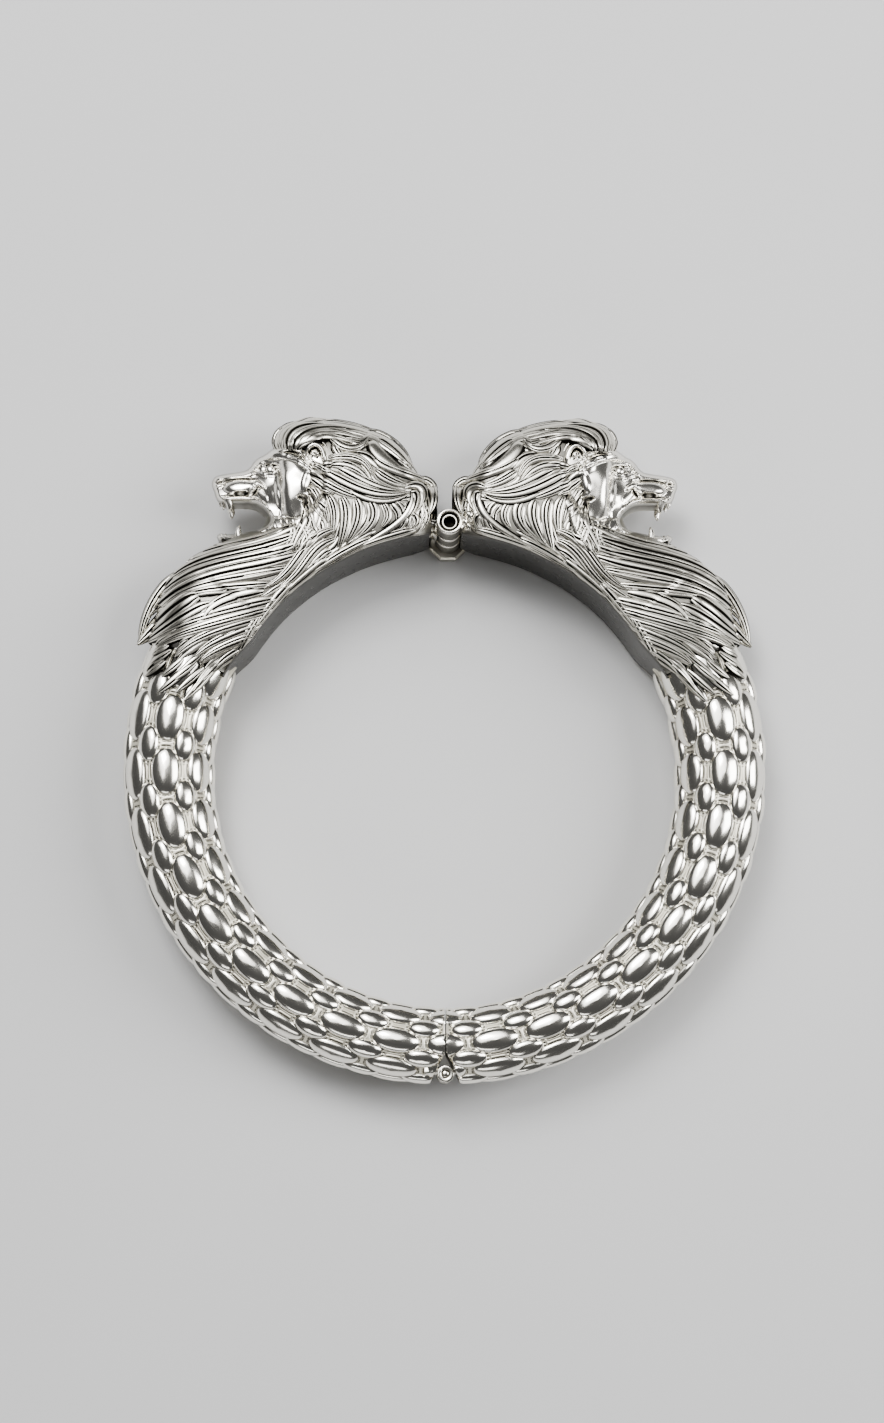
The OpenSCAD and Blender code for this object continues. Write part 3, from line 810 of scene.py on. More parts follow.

# %% [markdown]
# ## Locks of hair
#
# The mane is made of long curling locks, each with one to three strands that run together at its
# tip. A particle system would give round wires, so each lock is a strip of quads that follows a
# Bezier curve over the head. Across the strip, every strand is a rounded ridge with a sharp valley
# on either side, painted dark as shade and patina, and the strip's edges dive under its neighbours
# where they are painted dark as shade.

# %% Lock table
LOCKS = [
    # root, two handles, tip, width, strands, layer
    # crest over the forehead
    (22.4, 43.0, 22.8, 44.9, 22.0, 45.8, 20.6, 46.3, 1.1, 2, 0.05),
    (21.7, 43.0, 22.0, 45.6, 20.9, 46.5, 18.2, 46.6, 1.3, 3, 0.12),
    (20.9, 43.0, 21.0, 45.4, 19.8, 46.2, 16.2, 46.4, 1.4, 3, 0.18),
    (20.2, 43.1, 20.2, 45.0, 18.3, 46.3, 13.2, 45.9, 1.6, 3, 0.22),
    # crown
    (19.8, 43.5, 18.0, 45.6, 15.5, 46.0, 11.2, 44.5, 1.7, 4, 0.2),
    (19.4, 43.7, 18.2, 45.3, 15.4, 45.3, 12.2, 43.9, 1.2, 3, 0.28),
    (15.2, 44.6, 13.6, 42.9, 11.6, 42.6, 10.3, 44.4, 1.2, 3, 0.3),
    (17.0, 46.4, 13.6, 46.6, 9.6, 45.4, 7.4, 44.0, 1.5, 3, 0.1),
    (10.8, 45.4, 8.2, 45.0, 6.0, 43.6, 4.5, 40.9, 1.5, 3, 0.16),
    (9.2, 44.4, 7.6, 43.6, 6.2, 42.4, 4.9, 40.9, 1.3, 3, 0.26),
    (10.0, 44.2, 9.2, 42.6, 7.8, 41.2, 5.0, 39.7, 2.0, 1, 0.22),
    (9.4, 42.0, 8.2, 40.6, 5.0, 40.0, 2.1, 38.4, 1.5, 3, 0.3),
    (9.3, 40.4, 8.0, 39.4, 6.8, 38.6, 4.4, 38.0, 1.5, 3, 0.2),
    (8.6, 44.9, 6.9, 44.3, 5.6, 43.0, 4.4, 40.5, 1.0, 2, 0.02),
    # curls behind the ear and the long crescent
    (15.6, 41.9, 12.5, 42.5, 10.3, 42.1, 9.6, 39.4, 1.3, 3, 0.35),
    (15.2, 41.0, 12.8, 41.3, 11.3, 40.4, 10.2, 39.0, 1.3, 3, 0.3),
    (14.2, 40.5, 11.9, 39.6, 9.7, 37.6, 6.2, 37.5, 1.5, 3, 0.32),
    (16.2, 40.2, 13.0, 38.4, 9.4, 36.2, 5.2, 37.2, 1.7, 3, 0.42),
    (17.2, 39.4, 15.5, 38.2, 13.6, 37.2, 11.2, 36.5, 1.4, 3, 0.3),
    (12.6, 37.4, 10.2, 35.9, 7.2, 35.4, 4.9, 37.0, 0.8, 1, 0.5),
    # clasp end
    (5.4, 37.9, 3.4, 39.0, 1.8, 36.8, 3.8, 34.8, 1.3, 2, 0.4),
    (4.6, 37.2, 3.7, 37.4, 3.8, 35.5, 5.0, 33.7, 1.0, 2, 0.36),
    (2.6, 38.5, 1.2, 37.8, 1.2, 36.0, 2.2, 34.2, 1.1, 2, 0.15),
    (3.0, 36.8, 2.4, 35.6, 2.4, 34.6, 3.2, 33.4, 1.4, 3, 0.2),
    (7.2, 36.0, 5.9, 35.2, 5.6, 34.2, 6.4, 32.9, 1.6, 3, 0.1),
    (17.5, 41.0, 16.6, 40.5, 15.6, 40.2, 14.0, 39.2, 1.1, 3, 0.3),
    (14.9, 43.9, 14.4, 42.8, 14.0, 42.0, 12.6, 41.6, 1.2, 3, 0.2),
    (3.6, 39.0, 2.2, 39.2, 0.9, 38.2, 1.5, 36.4, 1.0, 2, 0.1),
    (3.2, 35.6, 2.2, 34.8, 2.2, 33.8, 2.8, 32.8, 1.1, 2, 0.25),
    (4.6, 34.4, 3.8, 33.8, 3.8, 33.2, 4.6, 32.4, 1.2, 2, 0.2),
    (5.8, 34.6, 5.0, 33.8, 5.2, 33.0, 6.2, 32.2, 1.2, 2, 0.2),
    # neck
    (8.4, 36.0, 7.4, 34.6, 7.4, 33.6, 8.6, 32.5, 1.3, 3, 0.12),
    (10.2, 36.2, 9.0, 34.8, 9.4, 33.0, 11.6, 31.4, 1.8, 4, 0.16),
    (12.0, 36.5, 11.0, 34.8, 11.6, 32.6, 13.2, 30.4, 1.8, 4, 0.22),
    (13.9, 36.7, 12.9, 35.0, 13.2, 32.8, 14.3, 29.3, 1.7, 4, 0.28),
    (15.6, 36.9, 14.5, 35.4, 14.6, 33.6, 15.0, 31.6, 1.5, 3, 0.24),
    (17.5, 38.2, 17.2, 36.6, 15.9, 35.8, 15.6, 33.2, 1.6, 3, 0.3),
    (18.1, 36.4, 16.8, 34.9, 17.0, 33.4, 17.4, 32.0, 1.7, 1, 0.18),
    (18.8, 35.1, 17.5, 33.6, 19.8, 31.8, 20.3, 29.4, 1.5, 3, 0.36),
    (17.2, 32.6, 18.8, 31.4, 19.0, 30.4, 19.4, 28.8, 1.3, 3, 0.2),
    (14.6, 32.4, 19.7, 31.1, 19.0, 26.8, 24.2, 24.3, 1.5, 3, 0.4),
    (14.6, 31.0, 18.6, 29.8, 18.2, 26.4, 22.6, 24.0, 1.5, 3, 0.3),
    (14.8, 29.6, 16.9, 28.9, 17.3, 27.2, 19.6, 25.6, 1.5, 3, 0.22),
    (13.2, 30.2, 15.4, 28.9, 16.6, 27.4, 18.4, 25.9, 1.1, 2, 0.1),
    (9.2, 32.2, 11.2, 31.4, 13.0, 30.0, 15.4, 28.2, 1.1, 2, 0.08),
    (18.2, 40.2, 17.0, 39.9, 16.4, 38.6, 14.6, 38.2, 1.2, 2, 0.3),
    (18.2, 39.2, 17.2, 38.8, 16.6, 37.8, 14.8, 37.0, 1.3, 3, 0.3),
    (18.1, 38.0, 17.2, 37.4, 17.0, 36.2, 15.6, 35.2, 1.3, 3, 0.34),
    (18.0, 36.9, 17.4, 36.0, 17.3, 35.0, 16.2, 33.4, 1.3, 3, 0.3),
    (18.4, 35.6, 17.7, 34.6, 17.9, 33.4, 17.2, 31.6, 1.2, 2, 0.32),
    (17.6, 40.4, 16.4, 40.1, 15.4, 40.2, 14.2, 39.4, 1.0, 2, 0.2),
    (16.4, 41.0, 15.4, 41.1, 14.6, 41.6, 13.4, 41.2, 0.9, 2, 0.2),
    (18.3, 35.0, 17.6, 34.0, 17.2, 33.0, 16.6, 31.0, 1.3, 3, 0.2),
    (19.4, 33.4, 18.4, 32.4, 17.8, 31.2, 18.2, 29.6, 1.3, 3, 0.22),
    (21.6, 33.4, 21.0, 32.4, 21.6, 31.2, 23.0, 30.2, 1.0, 2, 0.16),
    (20.6, 33.2, 20.0, 32.0, 20.4, 30.8, 21.6, 29.4, 1.0, 2, 0.16),
    # beard
    (20.6, 32.9, 23.8, 30.3, 27.4, 30.2, 30.7, 29.7, 1.2, 3, 0.2),
    (19.6, 32.9, 24.2, 29.9, 29.6, 30.2, 34.4, 27.9, 1.6, 3, 0.24),
    (19.3, 31.9, 24.8, 28.8, 32.0, 29.4, 36.6, 25.4, 1.7, 4, 0.3),
    (19.4, 30.4, 25.0, 27.6, 33.0, 28.6, 38.2, 22.9, 1.7, 4, 0.26),
    (19.8, 28.9, 26.2, 26.4, 34.4, 27.4, 39.6, 20.3, 1.8, 4, 0.34),
    (20.8, 27.2, 28.0, 25.4, 33.8, 25.7, 37.6, 21.8, 1.6, 3, 0.28),
    (23.0, 25.0, 28.0, 24.3, 32.4, 24.5, 35.2, 22.9, 1.4, 3, 0.3),
    (32.9, 23.5, 35.4, 22.4, 37.6, 20.0, 41.0, 16.7, 2.4, 4, 0.42),
    (31.2, 22.3, 34.0, 21.2, 36.0, 19.3, 39.6, 17.0, 1.7, 3, 0.34),
    (24.2, 24.0, 27.5, 23.5, 31.2, 22.7, 32.2, 20.2, 1.9, 4, 0.44),
    (22.0, 23.1, 26.4, 21.7, 33.0, 21.1, 38.4, 17.5, 1.8, 4, 0.28),
    (22.8, 21.8, 27.0, 20.2, 33.5, 19.5, 38.2, 16.4, 1.7, 4, 0.34),
    (23.6, 20.7, 28.0, 19.1, 32.5, 18.8, 36.0, 15.0, 1.6, 3, 0.28),
    (24.4, 19.6, 27.8, 18.1, 30.7, 17.6, 33.4, 15.0, 1.5, 3, 0.22),
    (25.4, 17.9, 28.0, 17.0, 30.5, 16.2, 32.8, 14.3, 1.5, 3, 0.26),
    (26.2, 16.4, 28.2, 15.4, 29.6, 14.6, 31.0, 13.0, 1.5, 3, 0.2),
    (35.6, 26.4, 38.3, 24.2, 40.2, 21.0, 40.7, 17.0, 1.3, 3, 0.3),
    (27.4, 14.8, 28.4, 13.6, 29.0, 12.6, 29.2, 11.6, 1.2, 2, 0.16),
    (4.4, 37.2, 3.9, 33.6, 8.0, 31.9, 14.0, 28.5, 1.1, 1, 0.3),
]
RIM_LOCKS = [
    # start and end angle from the clasp, width
    (7, 24, 1.2), (18, 35, 1.3), (29, 46, 1.4), (40, 57, 1.4), (51, 67, 1.3),
]
RIM_LOCK_R, RIM_LOCK_Z = 31.5, 5.9
for start, end, wide in RIM_LOCKS:
    far = RIM_LOCK_R - 0.6 * np.linspace(0, 1, 4)
    u, v, z = upright(far, np.linspace(start, end, 4), RIM_LOCK_Z + 0 * far).T
    LOCKS.append((*np.column_stack(as_pictured(u, v, z)).ravel(), wide, 3, 0.3))
print("locks", len(LOCKS))

# %% Laying a lock
TOP = 6.4         # locks that would rise over this are eased back
FEW = np.array([0, 0.09, 0.24, 0.5, 0.76, 0.91])      # points across a strand
MANY = np.linspace(0, 1, 12)[:-1]


def curve_at(row, t):
    p = np.array(row[:8]).reshape(4, 2)
    t = np.asarray(t, float)[..., None]
    s = 1 - t
    place = s ** 3 * p[0] + 3 * s * s * t * p[1] + 3 * s * t * t * p[2] + t ** 3 * p[3]
    slope = 3 * s * s * (p[1] - p[0]) + 6 * s * t * (p[2] - p[1]) + 3 * t * t * (p[3] - p[2])
    return place, slope / np.linalg.norm(slope, axis=-1, keepdims=True)


def strand_pattern(strands, seed):
    inside = MANY if strands == 1 else FEW
    shares = 1 + 0.4 * np.sin(2.1 * np.arange(strands) + 7 * seed)
    edges = np.concatenate([[0], np.cumsum(shares) / shares.sum()])
    across = np.concatenate(
        [edges[i] + inside * (edges[i + 1] - edges[i]) for i in range(strands)] + [[1.0]])
    phase = np.concatenate([inside] * strands + [[1.0]])
    number = np.minimum(np.arange(len(across)) // len(inside), strands - 1)
    uneven = 0.08 * np.sin(number * 2.3 + seed * 3.1) * (strands > 1)
    return 2 * across - 1, np.abs(2 * phase - 1), uneven


def ribbon(tray, place, slope, half, strands, rise, depth, foot=0.35):
    s, off_ridge, uneven = strand_pattern(strands, place[0, 0])
    ridge = np.sqrt(np.clip(1 - off_ridge ** 2.6, 0, 1))
    arch = 1 - np.abs(s) ** 2.2
    fade = np.clip(half / half.max() * 1.3, 0, 1)[:, None]
    height = rise[:, None] * (0.2 + 0.8 * arch) + depth * fade * (ridge - 1) + uneven * fade
    height = np.pad(height, ((0, 0), (1, 1)), constant_values=-foot)
    # the valleys and the sunk edges of the strip are painted dark as shade and patina
    valley = np.clip((off_ridge - 0.38) / 0.36, 0, 1) + 0 * fade
    recess = np.pad(valley, ((0, 0), (1, 1)), constant_values=1)
    s = np.concatenate([[-1.02], s, [1.02]])
    side = np.stack([-slope[:, 1], slope[:, 0]], -1)
    spot = place[:, None, :] + side[:, None, :] * (half[:, None] * s)[..., None]
    points, normal = on_head(*from_picture(spot[..., 0], spot[..., 1], head_height), height)
    over = np.clip(points[..., 2] - TOP, 0, None)
    points[..., 2] = np.clip(points[..., 2], 0, TOP) + 0.7 * np.tanh(over / 0.9)
    # nothing reaches inside the wall
    u, v = points[..., 0], points[..., 1]
    least = mane_row(np.degrees(np.arctan2(u, v)))[0] + 0.03
    points[..., :2] *= np.maximum(1, least / np.hypot(u, v))[..., None]
    tray.add_twice(points, grid_faces(len(place), len(s)), recess,
                   facing(*normal.reshape(-1, 3).mean(0)))


def lock_profile(t):
    blunt = 0.5 + 0.5 * np.sin(np.radians(np.minimum(90, t * 360)))
    return blunt * np.sqrt(np.clip(1 - t ** 3, 0.015, 1))


print("lock helpers ready")

# %% Mane locks
WIDER = 1.14
GROOVE, SINGLE_GROOVE = 0.3, 0.05
locks = Tray()
for row in LOCKS:
    width, layer = WIDER * row[8], row[10]
    strands = min(row[9], 3)
    t = np.linspace(0, 1, int(12 + math.hypot(row[6] - row[0], row[7] - row[1]) * 1.3))
    place, slope = curve_at(row, t)
    rise = (0.22 + layer) * (1 - 0.45 * t ** 4) - 0.38 * np.clip(1 - t / 0.16, 0, 1) ** 2
    ribbon(locks, place, slope, width / 2 * lock_profile(t), strands, rise,
           GROOVE if strands > 1 else SINGLE_GROOVE)
pour_halves(locks, "mane_locks", HAIR_SILVER)

# %% [markdown]
# ## Undercoat
#
# Between the named locks the casting still shows fine hair. Each short strand could be another row
# of the table, but its direction is taken from the locks near it instead, so the undercoat flows
# with the mane without being drawn by hand. A fixed seed keeps the strands in the same place each
# time the lesson is run.

# %% Flow of the hair
BARE = [
    (25.0, 42.6), (22.0, 43.0), (20.0, 43.2), (18.9, 43.6), (17.6, 44.7), (16.0, 44.2),
    (15.2, 42.6), (15.5, 41.1), (17.0, 40.7), (17.9, 39.6), (18.1, 38.0), (18.1, 36.2),
    (18.2, 34.8), (17.6, 33.4), (18.2, 31.2), (20.6, 29.8), (26.0, 30.0), (32.0, 30.4),
    (32.0, 41.0),
]
MARGIN = 0.25
samples, slopes = (np.concatenate(found) for found in zip(
    *(curve_at(row, np.linspace(0.05, 0.95, 9)) for row in LOCKS)))


def flow(spot):
    near = 1 / (((samples - spot) ** 2).sum(1) + 0.08) ** 2
    way = (slopes * near[:, None]).sum(0)
    return way / np.linalg.norm(way)


def on_bare(spot):
    return polygon_distance(spot[0], spot[1], BARE) < MARGIN


print("samples of the flow", len(samples))

# %% Undercoat
STRANDS = 155
STRIDE = 0.42
undercoat = Tray()
dice = np.random.default_rng(7)
for n in range(STRANDS):
    angle, s = dice.uniform(4.5, 69), dice.uniform(0.03, 0.97)
    inner, outer, half = mane_row(angle)
    r = inner + s * (outer - inner)
    spot = np.array([r * math.sin(math.radians(angle)), r * math.cos(math.radians(angle))])
    if on_bare(spot):
        continue
    path = [spot]
    for i in range(int(dice.integers(9, 15))):
        spot = spot + STRIDE * flow(spot)
        u, v = from_picture(spot[0], spot[1], head_height)
        inner, outer, half = mane_row(math.degrees(math.atan2(u, v)))
        if on_bare(spot) or not 0.0 < (math.hypot(u, v) - inner) / (outer - inner) < 1.0:
            break
        path.append(spot)
    if len(path) < 6:
        continue
    path = np.array(path)
    slope = np.gradient(path, axis=0)
    slope /= np.linalg.norm(slope, axis=1, keepdims=True)
    t = np.linspace(0, 1, len(path))
    half = dice.uniform(0.48, 0.74) * np.sin(np.pi * (0.12 + 0.86 * t)) ** 0.7
    ribbon(undercoat, path, slope, half, 2, 0.1 + 0.1 * np.sin(np.pi * t), 0.15, foot=0.2)
pour_halves(undercoat, "undercoat", HAIR_SILVER)

# %% [markdown]
# ## Face
#
# The snarling face is smooth and rounded where the hair is fine and stringy. It is worked like a
# relief: the level gives the big form, domes swell the muzzle and cheek, welts are laid on along
# short paths, creases are pressed in, and the rim rolls down to the middle plane where it meets
# its twin. Carving with booleans would leave hard seams, and a painted texture would vanish from
# the side.

# %% Relief tools
def welt(u, v, path, wide, rise, power=3.0):
    path = rounded(path)
    best, along = np.full(u.shape, 1e3), np.zeros(u.shape)
    lengths = np.concatenate([[0], np.cumsum(np.linalg.norm(np.diff(path, axis=0), axis=1))])
    for a, b, la, lb in zip(path[:-1], path[1:], lengths[:-1], lengths[1:]):
        ab = b - a
        h = np.clip(((u - a[0]) * ab[0] + (v - a[1]) * ab[1]) / (ab @ ab), 0, 1)
        away = np.hypot(u - a[0] - h * ab[0], v - a[1] - h * ab[1])
        closer = away < best
        best = np.where(closer, away, best)
        along = np.where(closer, (la + h * (lb - la)) / lengths[-1], along)
    taper = np.sqrt(np.clip(np.minimum(along, 1 - along) / 0.16, 0, 1) * 0.75 + 0.25)
    return rise * taper * np.clip(1 - (best / (wide * taper)) ** power, 0, 1)


print("relief tools ready")

# %% Welts
WELTS = [
    # path across and up, half width, rise
    # brow
    ([(23.9, 42.0), (22.6, 42.35), (21.1, 42.3), (19.8, 41.85), (18.6, 41.1),
      (17.9, 40.4)], 0.62, 0.55),
    ([(23.1, 43.1), (21.6, 43.1), (20.2, 43.2), (18.9, 43.0)], 0.3, 0.35),  # forehead band
    ([(24.6, 40.75), (23.8, 41.2), (22.8, 41.25), (21.8, 40.9)], 0.24, 0.3),  # upper lid
    ([(24.4, 40.1), (23.5, 39.72), (22.7, 39.9), (21.9, 40.6)], 0.22, 0.28),  # lower lid
    ([(24.9, 41.5), (24.4, 41.1)], 0.46, 0.4),  # bump at the brow
    ([(25.7, 40.9), (25.0, 40.2)], 0.26, 0.25),
    ([(26.4, 40.4), (25.3, 39.8)], 0.26, 0.3),
    ([(25.3, 39.9), (24.4, 39.7), (23.8, 39.3)], 0.28, 0.25),
    ([(30.6, 39.25), (29.4, 39.4), (27.6, 39.55), (25.6, 39.75)], 0.42, 0.28),  # bridge
    ([(30.9, 38.2), (30.3, 38.15), (29.7, 38.45)], 0.28, 0.4),  # nostril wing
    ([(25.5, 38.75), (24.8, 38.4), (24.1, 37.9)], 0.4, 0.4),  # fold of the nose
    ([(26.15, 36.95), (25.7, 37.5), (25.2, 38.0)], 0.36, 0.55),  # leaf fold
    ([(25.0, 37.7), (24.5, 37.0), (23.8, 36.2)], 0.5, 0.2),  # mouth corner
    # upper lip
    ([(30.1, 36.15), (29.3, 36.45), (28.2, 36.55), (26.6, 36.55), (25.4, 36.4), (24.4, 35.9),
      (23.7, 35.2), (23.4, 34.3)], 0.26, 0.34),
    # lower lip
    ([(30.0, 31.3), (28.6, 31.1), (27.2, 31.3), (25.8, 31.6), (24.6, 32.1),
      (23.5, 32.8)], 0.34, 0.3),
    # ear rim
    ([(18.7, 42.5), (18.25, 43.5), (17.4, 43.95), (16.55, 43.5), (16.1, 42.4),
      (16.0, 41.2)], 0.4, 0.6),
    ([(17.85, 42.1), (17.7, 42.8), (17.2, 42.9), (16.85, 42.3)], 0.24, 0.4),  # fold in the ear
    ([(17.3, 42.35), (17.15, 42.25)], 0.26, 0.3),
    ([(18.2, 41.9), (17.4, 41.2), (16.6, 40.9)], 0.25, 0.2),
    ([(17.9, 41.4), (17.2, 40.75), (16.5, 40.5)], 0.2, 0.2),
]
print("welts", len(WELTS))

# %% Creases
CREASES = [
    # path across and up, half width, depth
    # under the bridge
    ([(29.75, 38.35), (29.2, 38.9), (28.3, 39.1), (26.5, 39.12), (25.0, 39.05)], 0.15, 0.32),
    ([(30.8, 38.72), (30.2, 38.68), (29.7, 38.75)], 0.16, 0.4),  # nostril
    ([(28.1, 37.1), (27.2, 37.2), (26.35, 37.2)], 0.38, 0.7),  # hollow under the muzzle
    ([(30.4, 36.6), (29.3, 36.85), (27.6, 36.85), (26.4, 36.85)], 0.12, 0.3),  # over the lip
    ([(25.7, 36.9), (25.3, 37.4), (25.05, 37.9)], 0.14, 0.45),
    ([(24.6, 40.95), (23.6, 41.0), (22.6, 41.0), (21.7, 40.95)], 0.12, 0.4),  # over the eye
    ([(25.7, 40.4), (25.2, 39.9)], 0.11, 0.2),
    ([(25.3, 41.0), (24.8, 40.5)], 0.11, 0.2),
    ([(24.3, 42.4), (23.2, 42.78), (21.8, 42.75), (20.8, 42.8), (19.7, 42.65), (18.6, 42.2),
      (18.0, 41.9)], 0.11, 0.28),
    ([(20.9, 42.15), (20.2, 42.1), (19.8, 41.8)], 0.12, 0.25),
    ([(19.6, 41.4), (18.6, 40.8), (17.9, 40.1)], 0.13, 0.3),
    ([(19.2, 41.8), (18.4, 41.3), (17.7, 40.9)], 0.1, 0.25),
    # front of the cheek
    ([(22.3, 40.1), (22.3, 39.0), (22.0, 37.5), (21.75, 36.0), (21.8, 34.8),
      (22.0, 33.9)], 0.36, 0.2),
    ([(19.6, 36.7), (18.5, 36.6), (18.7, 35.3)], 0.42, 0.8),  # pit behind the cheek
    ([(21.4, 34.1), (20.8, 33.75), (19.9, 33.7), (19.1, 34.2)], 0.12, 0.3),  # foot of the cheek
    ([(21.9, 33.7), (21.6, 32.8), (21.7, 31.8)], 0.1, 0.25),
    ([(21.0, 33.5), (20.8, 32.5), (21.0, 31.6)], 0.1, 0.25),
    ([(20.2, 33.5), (20.2, 32.6), (20.3, 31.8)], 0.1, 0.25),
    ([(22.8, 33.4), (22.5, 32.6)], 0.1, 0.2),
    # round the ear
    ([(19.15, 42.7), (18.65, 43.95), (17.5, 44.4), (16.35, 43.95), (15.7, 42.7),
      (15.55, 41.1)], 0.17, 0.5),
    ([(18.2, 42.0), (18.0, 43.0), (17.35, 43.4), (16.8, 43.0), (16.55, 42.1)], 0.15, 0.4),
    ([(17.15, 42.1), (16.95, 42.05)], 0.14, 0.4),
    ([(30.2, 31.5), (29.0, 31.0), (27.8, 30.9)], 0.1, 0.25),
    ([(27.8, 30.9), (26.0, 31.15), (24.6, 31.6), (23.6, 32.2)], 0.13, 0.3),
]
print("creases", len(CREASES))

# %% Eye, domes and teeth
EYE_PLACE, EYE_R, SOCKET_R, SOCKET_DEPTH = (23.25, 40.4), 0.62, 1.15, 0.5
EYE_LEVEL, EYE_RISE = 3.25, 0.4
DOMES = [
    # across, up, half length, half height, turn, rise
    (27.35, 38.0, 2.35, 1.08, -3, 0.8), (20.3, 38.3, 2.5, 4.6, 3, 0.85),
    (22.0, 33.0, 2.0, 1.0, 14, 0.5), (30.3, 39.0, 0.7, 0.45, 0, 0.3),
    (18.2, 39.2, 0.9, 2.0, 20, 0.4),
]
TEETH = [
    # foot across and up, tip across and up, height over the middle plane of foot and tip, radius
    (28.95, 36.3, 28.7, 34.6, 2.2, 1.9, 0.5), (27.45, 31.2, 27.4, 32.85, 2.1, 2.0, 0.44),
    (29.2, 31.0, 29.25, 31.75, 1.5, 1.4, 0.2), (29.7, 31.1, 29.8, 31.8, 1.0, 1.0, 0.18),
    (29.9, 31.1, 30.05, 31.7, 0.4, 0.4, 0.18), (29.7, 36.1, 29.7, 35.4, 1.2, 1.1, 0.2),
    (30.0, 36.1, 30.05, 35.5, 0.5, 0.5, 0.2),
]
LOWEST = 0.4


def relief(u, v):
    depth = -polygon_distance(u, v, RIM)
    high = level_at(u, v)
    for a, b, long_half, wide_half, turn, rise in DOMES:
        c, s = math.cos(math.radians(turn)), math.sin(math.radians(turn))
        x = ((u - a) * c + (v - b) * s) / long_half
        y = ((v - b) * c - (u - a) * s) / wide_half
        high = high + rise * np.clip(1 - np.hypot(x, y) ** 3.0, 0, 1)
    from_eye = np.hypot(u - EYE_PLACE[0], v - EYE_PLACE[1])
    high = high - SOCKET_DEPTH * np.clip(1 - (from_eye / SOCKET_R) ** 2, 0, 1)
    for path, wide, rise in WELTS:
        high = high + welt(u, v, path, wide, rise)
    for path, wide, rise in CREASES:
        high = high - welt(u, v, path, wide, rise, 1.4)
    ball = np.sqrt(np.clip(1 - (from_eye / EYE_R) ** 2, 0, 1))
    high = np.where(ball > 0, np.maximum(high, EYE_LEVEL + EYE_RISE * ball), high)
    roll = np.sqrt(1 - (1 - np.clip(depth / RIM_ROLL, 0, 1)) ** 2)
    return np.maximum(high, LOWEST) * roll, depth


print("domes", len(DOMES), "teeth", len(TEETH))

# %% Painted shade and patina of the face
grain = 0.1
U, V = np.meshgrid(np.arange(14.6, 31.4, grain), np.arange(28.4, 45.5, grain), indexing="ij")
high, depth = relief(U, V)
wide_mean = high.copy()
for again in range(int(0.16 / grain ** 2)):
    wide_mean = (wide_mean + np.roll(wide_mean, 1, 0) + np.roll(wide_mean, -1, 0)
                 + np.roll(wide_mean, 1, 1) + np.roll(wide_mean, -1, 1)) / 5
# painted shade and patina in the hollows of the face, and painted shade along the rim where the
# face rolls under
face_patina_and_shade = np.clip((wide_mean - high - 0.05) / 0.3, 0, 1) * (depth > 0.4)
face_patina_and_shade = np.maximum(face_patina_and_shade, 0.55 * np.clip(1 - depth / 0.5, 0, 1))
print("dark share of the face", (face_patina_and_shade[depth > 0] > 0.5).mean().round(2))

# %% Face sheet
# points just outside the rim are drawn back onto it, so that the sheet ends in a clean line
slope_u, slope_v = np.gradient(-depth, grain)
outside = depth <= 0
U = np.where(outside, U + slope_u * depth, U)
V = np.where(outside, V + slope_v * depth, V)
high = np.where(outside, 0, high)
kept = depth > -1.5 * grain
quads = grid_faces(*U.shape)
quads = quads[kept.ravel()[quads].all(1) & (depth.ravel()[quads] > 0).any(1)]
used = np.unique(quads)
number = np.full(U.size, -1)
number[used] = np.arange(len(used))
sheet = np.stack([*seen_from(U, V, high), high], -1).reshape(-1, 3)[used]
face = Tray()
face.add_twice(sheet, number[quads], face_patina_and_shade.ravel()[used], facing(0, 0, 1))
print("face points", face.count)

# %% Teeth
UP = np.array([0, 0, 1.0])
TOOTH_RINGS, TOOTH_SIDES = 9, 12
t = np.linspace(0, 1, TOOTH_RINGS)[:, None]
turn = np.linspace(0, 2 * np.pi, TOOTH_SIDES, endpoint=False)
for foot_u, foot_v, tip_u, tip_v, foot_z, tip_z, radius in TEETH:
    foot = np.array([*seen_from(foot_u, foot_v, foot_z), foot_z])
    tip = np.array([*seen_from(tip_u, tip_v, tip_z), tip_z])
    side = np.cross(tip - foot, UP)
    side /= np.linalg.norm(side)
    fat = radius * np.sqrt(1 - t ** 1.7) + 0.02
    bend = 0.3 * radius * np.sin(np.pi * t)[..., None] * side
    ring = foot + (tip - foot) * t[..., None] + bend + fat[..., None] * (
        np.cos(turn)[None, :, None] * side + np.sin(turn)[None, :, None] * UP)
    # each tooth is painted darker toward its foot as shade
    face.add_twice(ring, grid_faces(TOOTH_RINGS, TOOTH_SIDES, True),
                   0.6 * (1 - t) ** 2 + 0 * turn, lambda m, f=foot, g=tip: m - (f + g) / 2)
pour_halves(face, "face", FACE_SILVER)

# %% [markdown]
# ## Clasp and screw
#
# Three short tubes share one upright axis between the heads: the right half carries the upper and
# lower one, the left half the middle one, and blobs of solder hold them. A hollow screw with an
# eight sided thumb head passes through them. Plain cylinders would look too sharp, so round parts
# are turned from a profile, as on a lathe, with a small round on each edge.

# %% Turned parts
def turned(tray, profile, centre, sides=48, phase=0.0):
    profile = np.array(profile, float)
    angle = np.linspace(0, 2 * np.pi, sides, endpoint=False) + phase
    r, z, recess = (profile[:, i][:, None] for i in range(3))
    points = np.stack(
        [centre[0] + r * np.cos(angle), centre[1] + r * np.sin(angle), z + 0 * angle], -1)
    after = np.roll(profile, -1, axis=0)
    area = (profile[:, 0] * after[:, 1] - after[:, 0] * profile[:, 1]).sum()
    faces = grid_faces(len(profile), sides, True)
    tray.add(points, faces[:, ::-1] if area < 0 else faces, recess + 0 * angle)


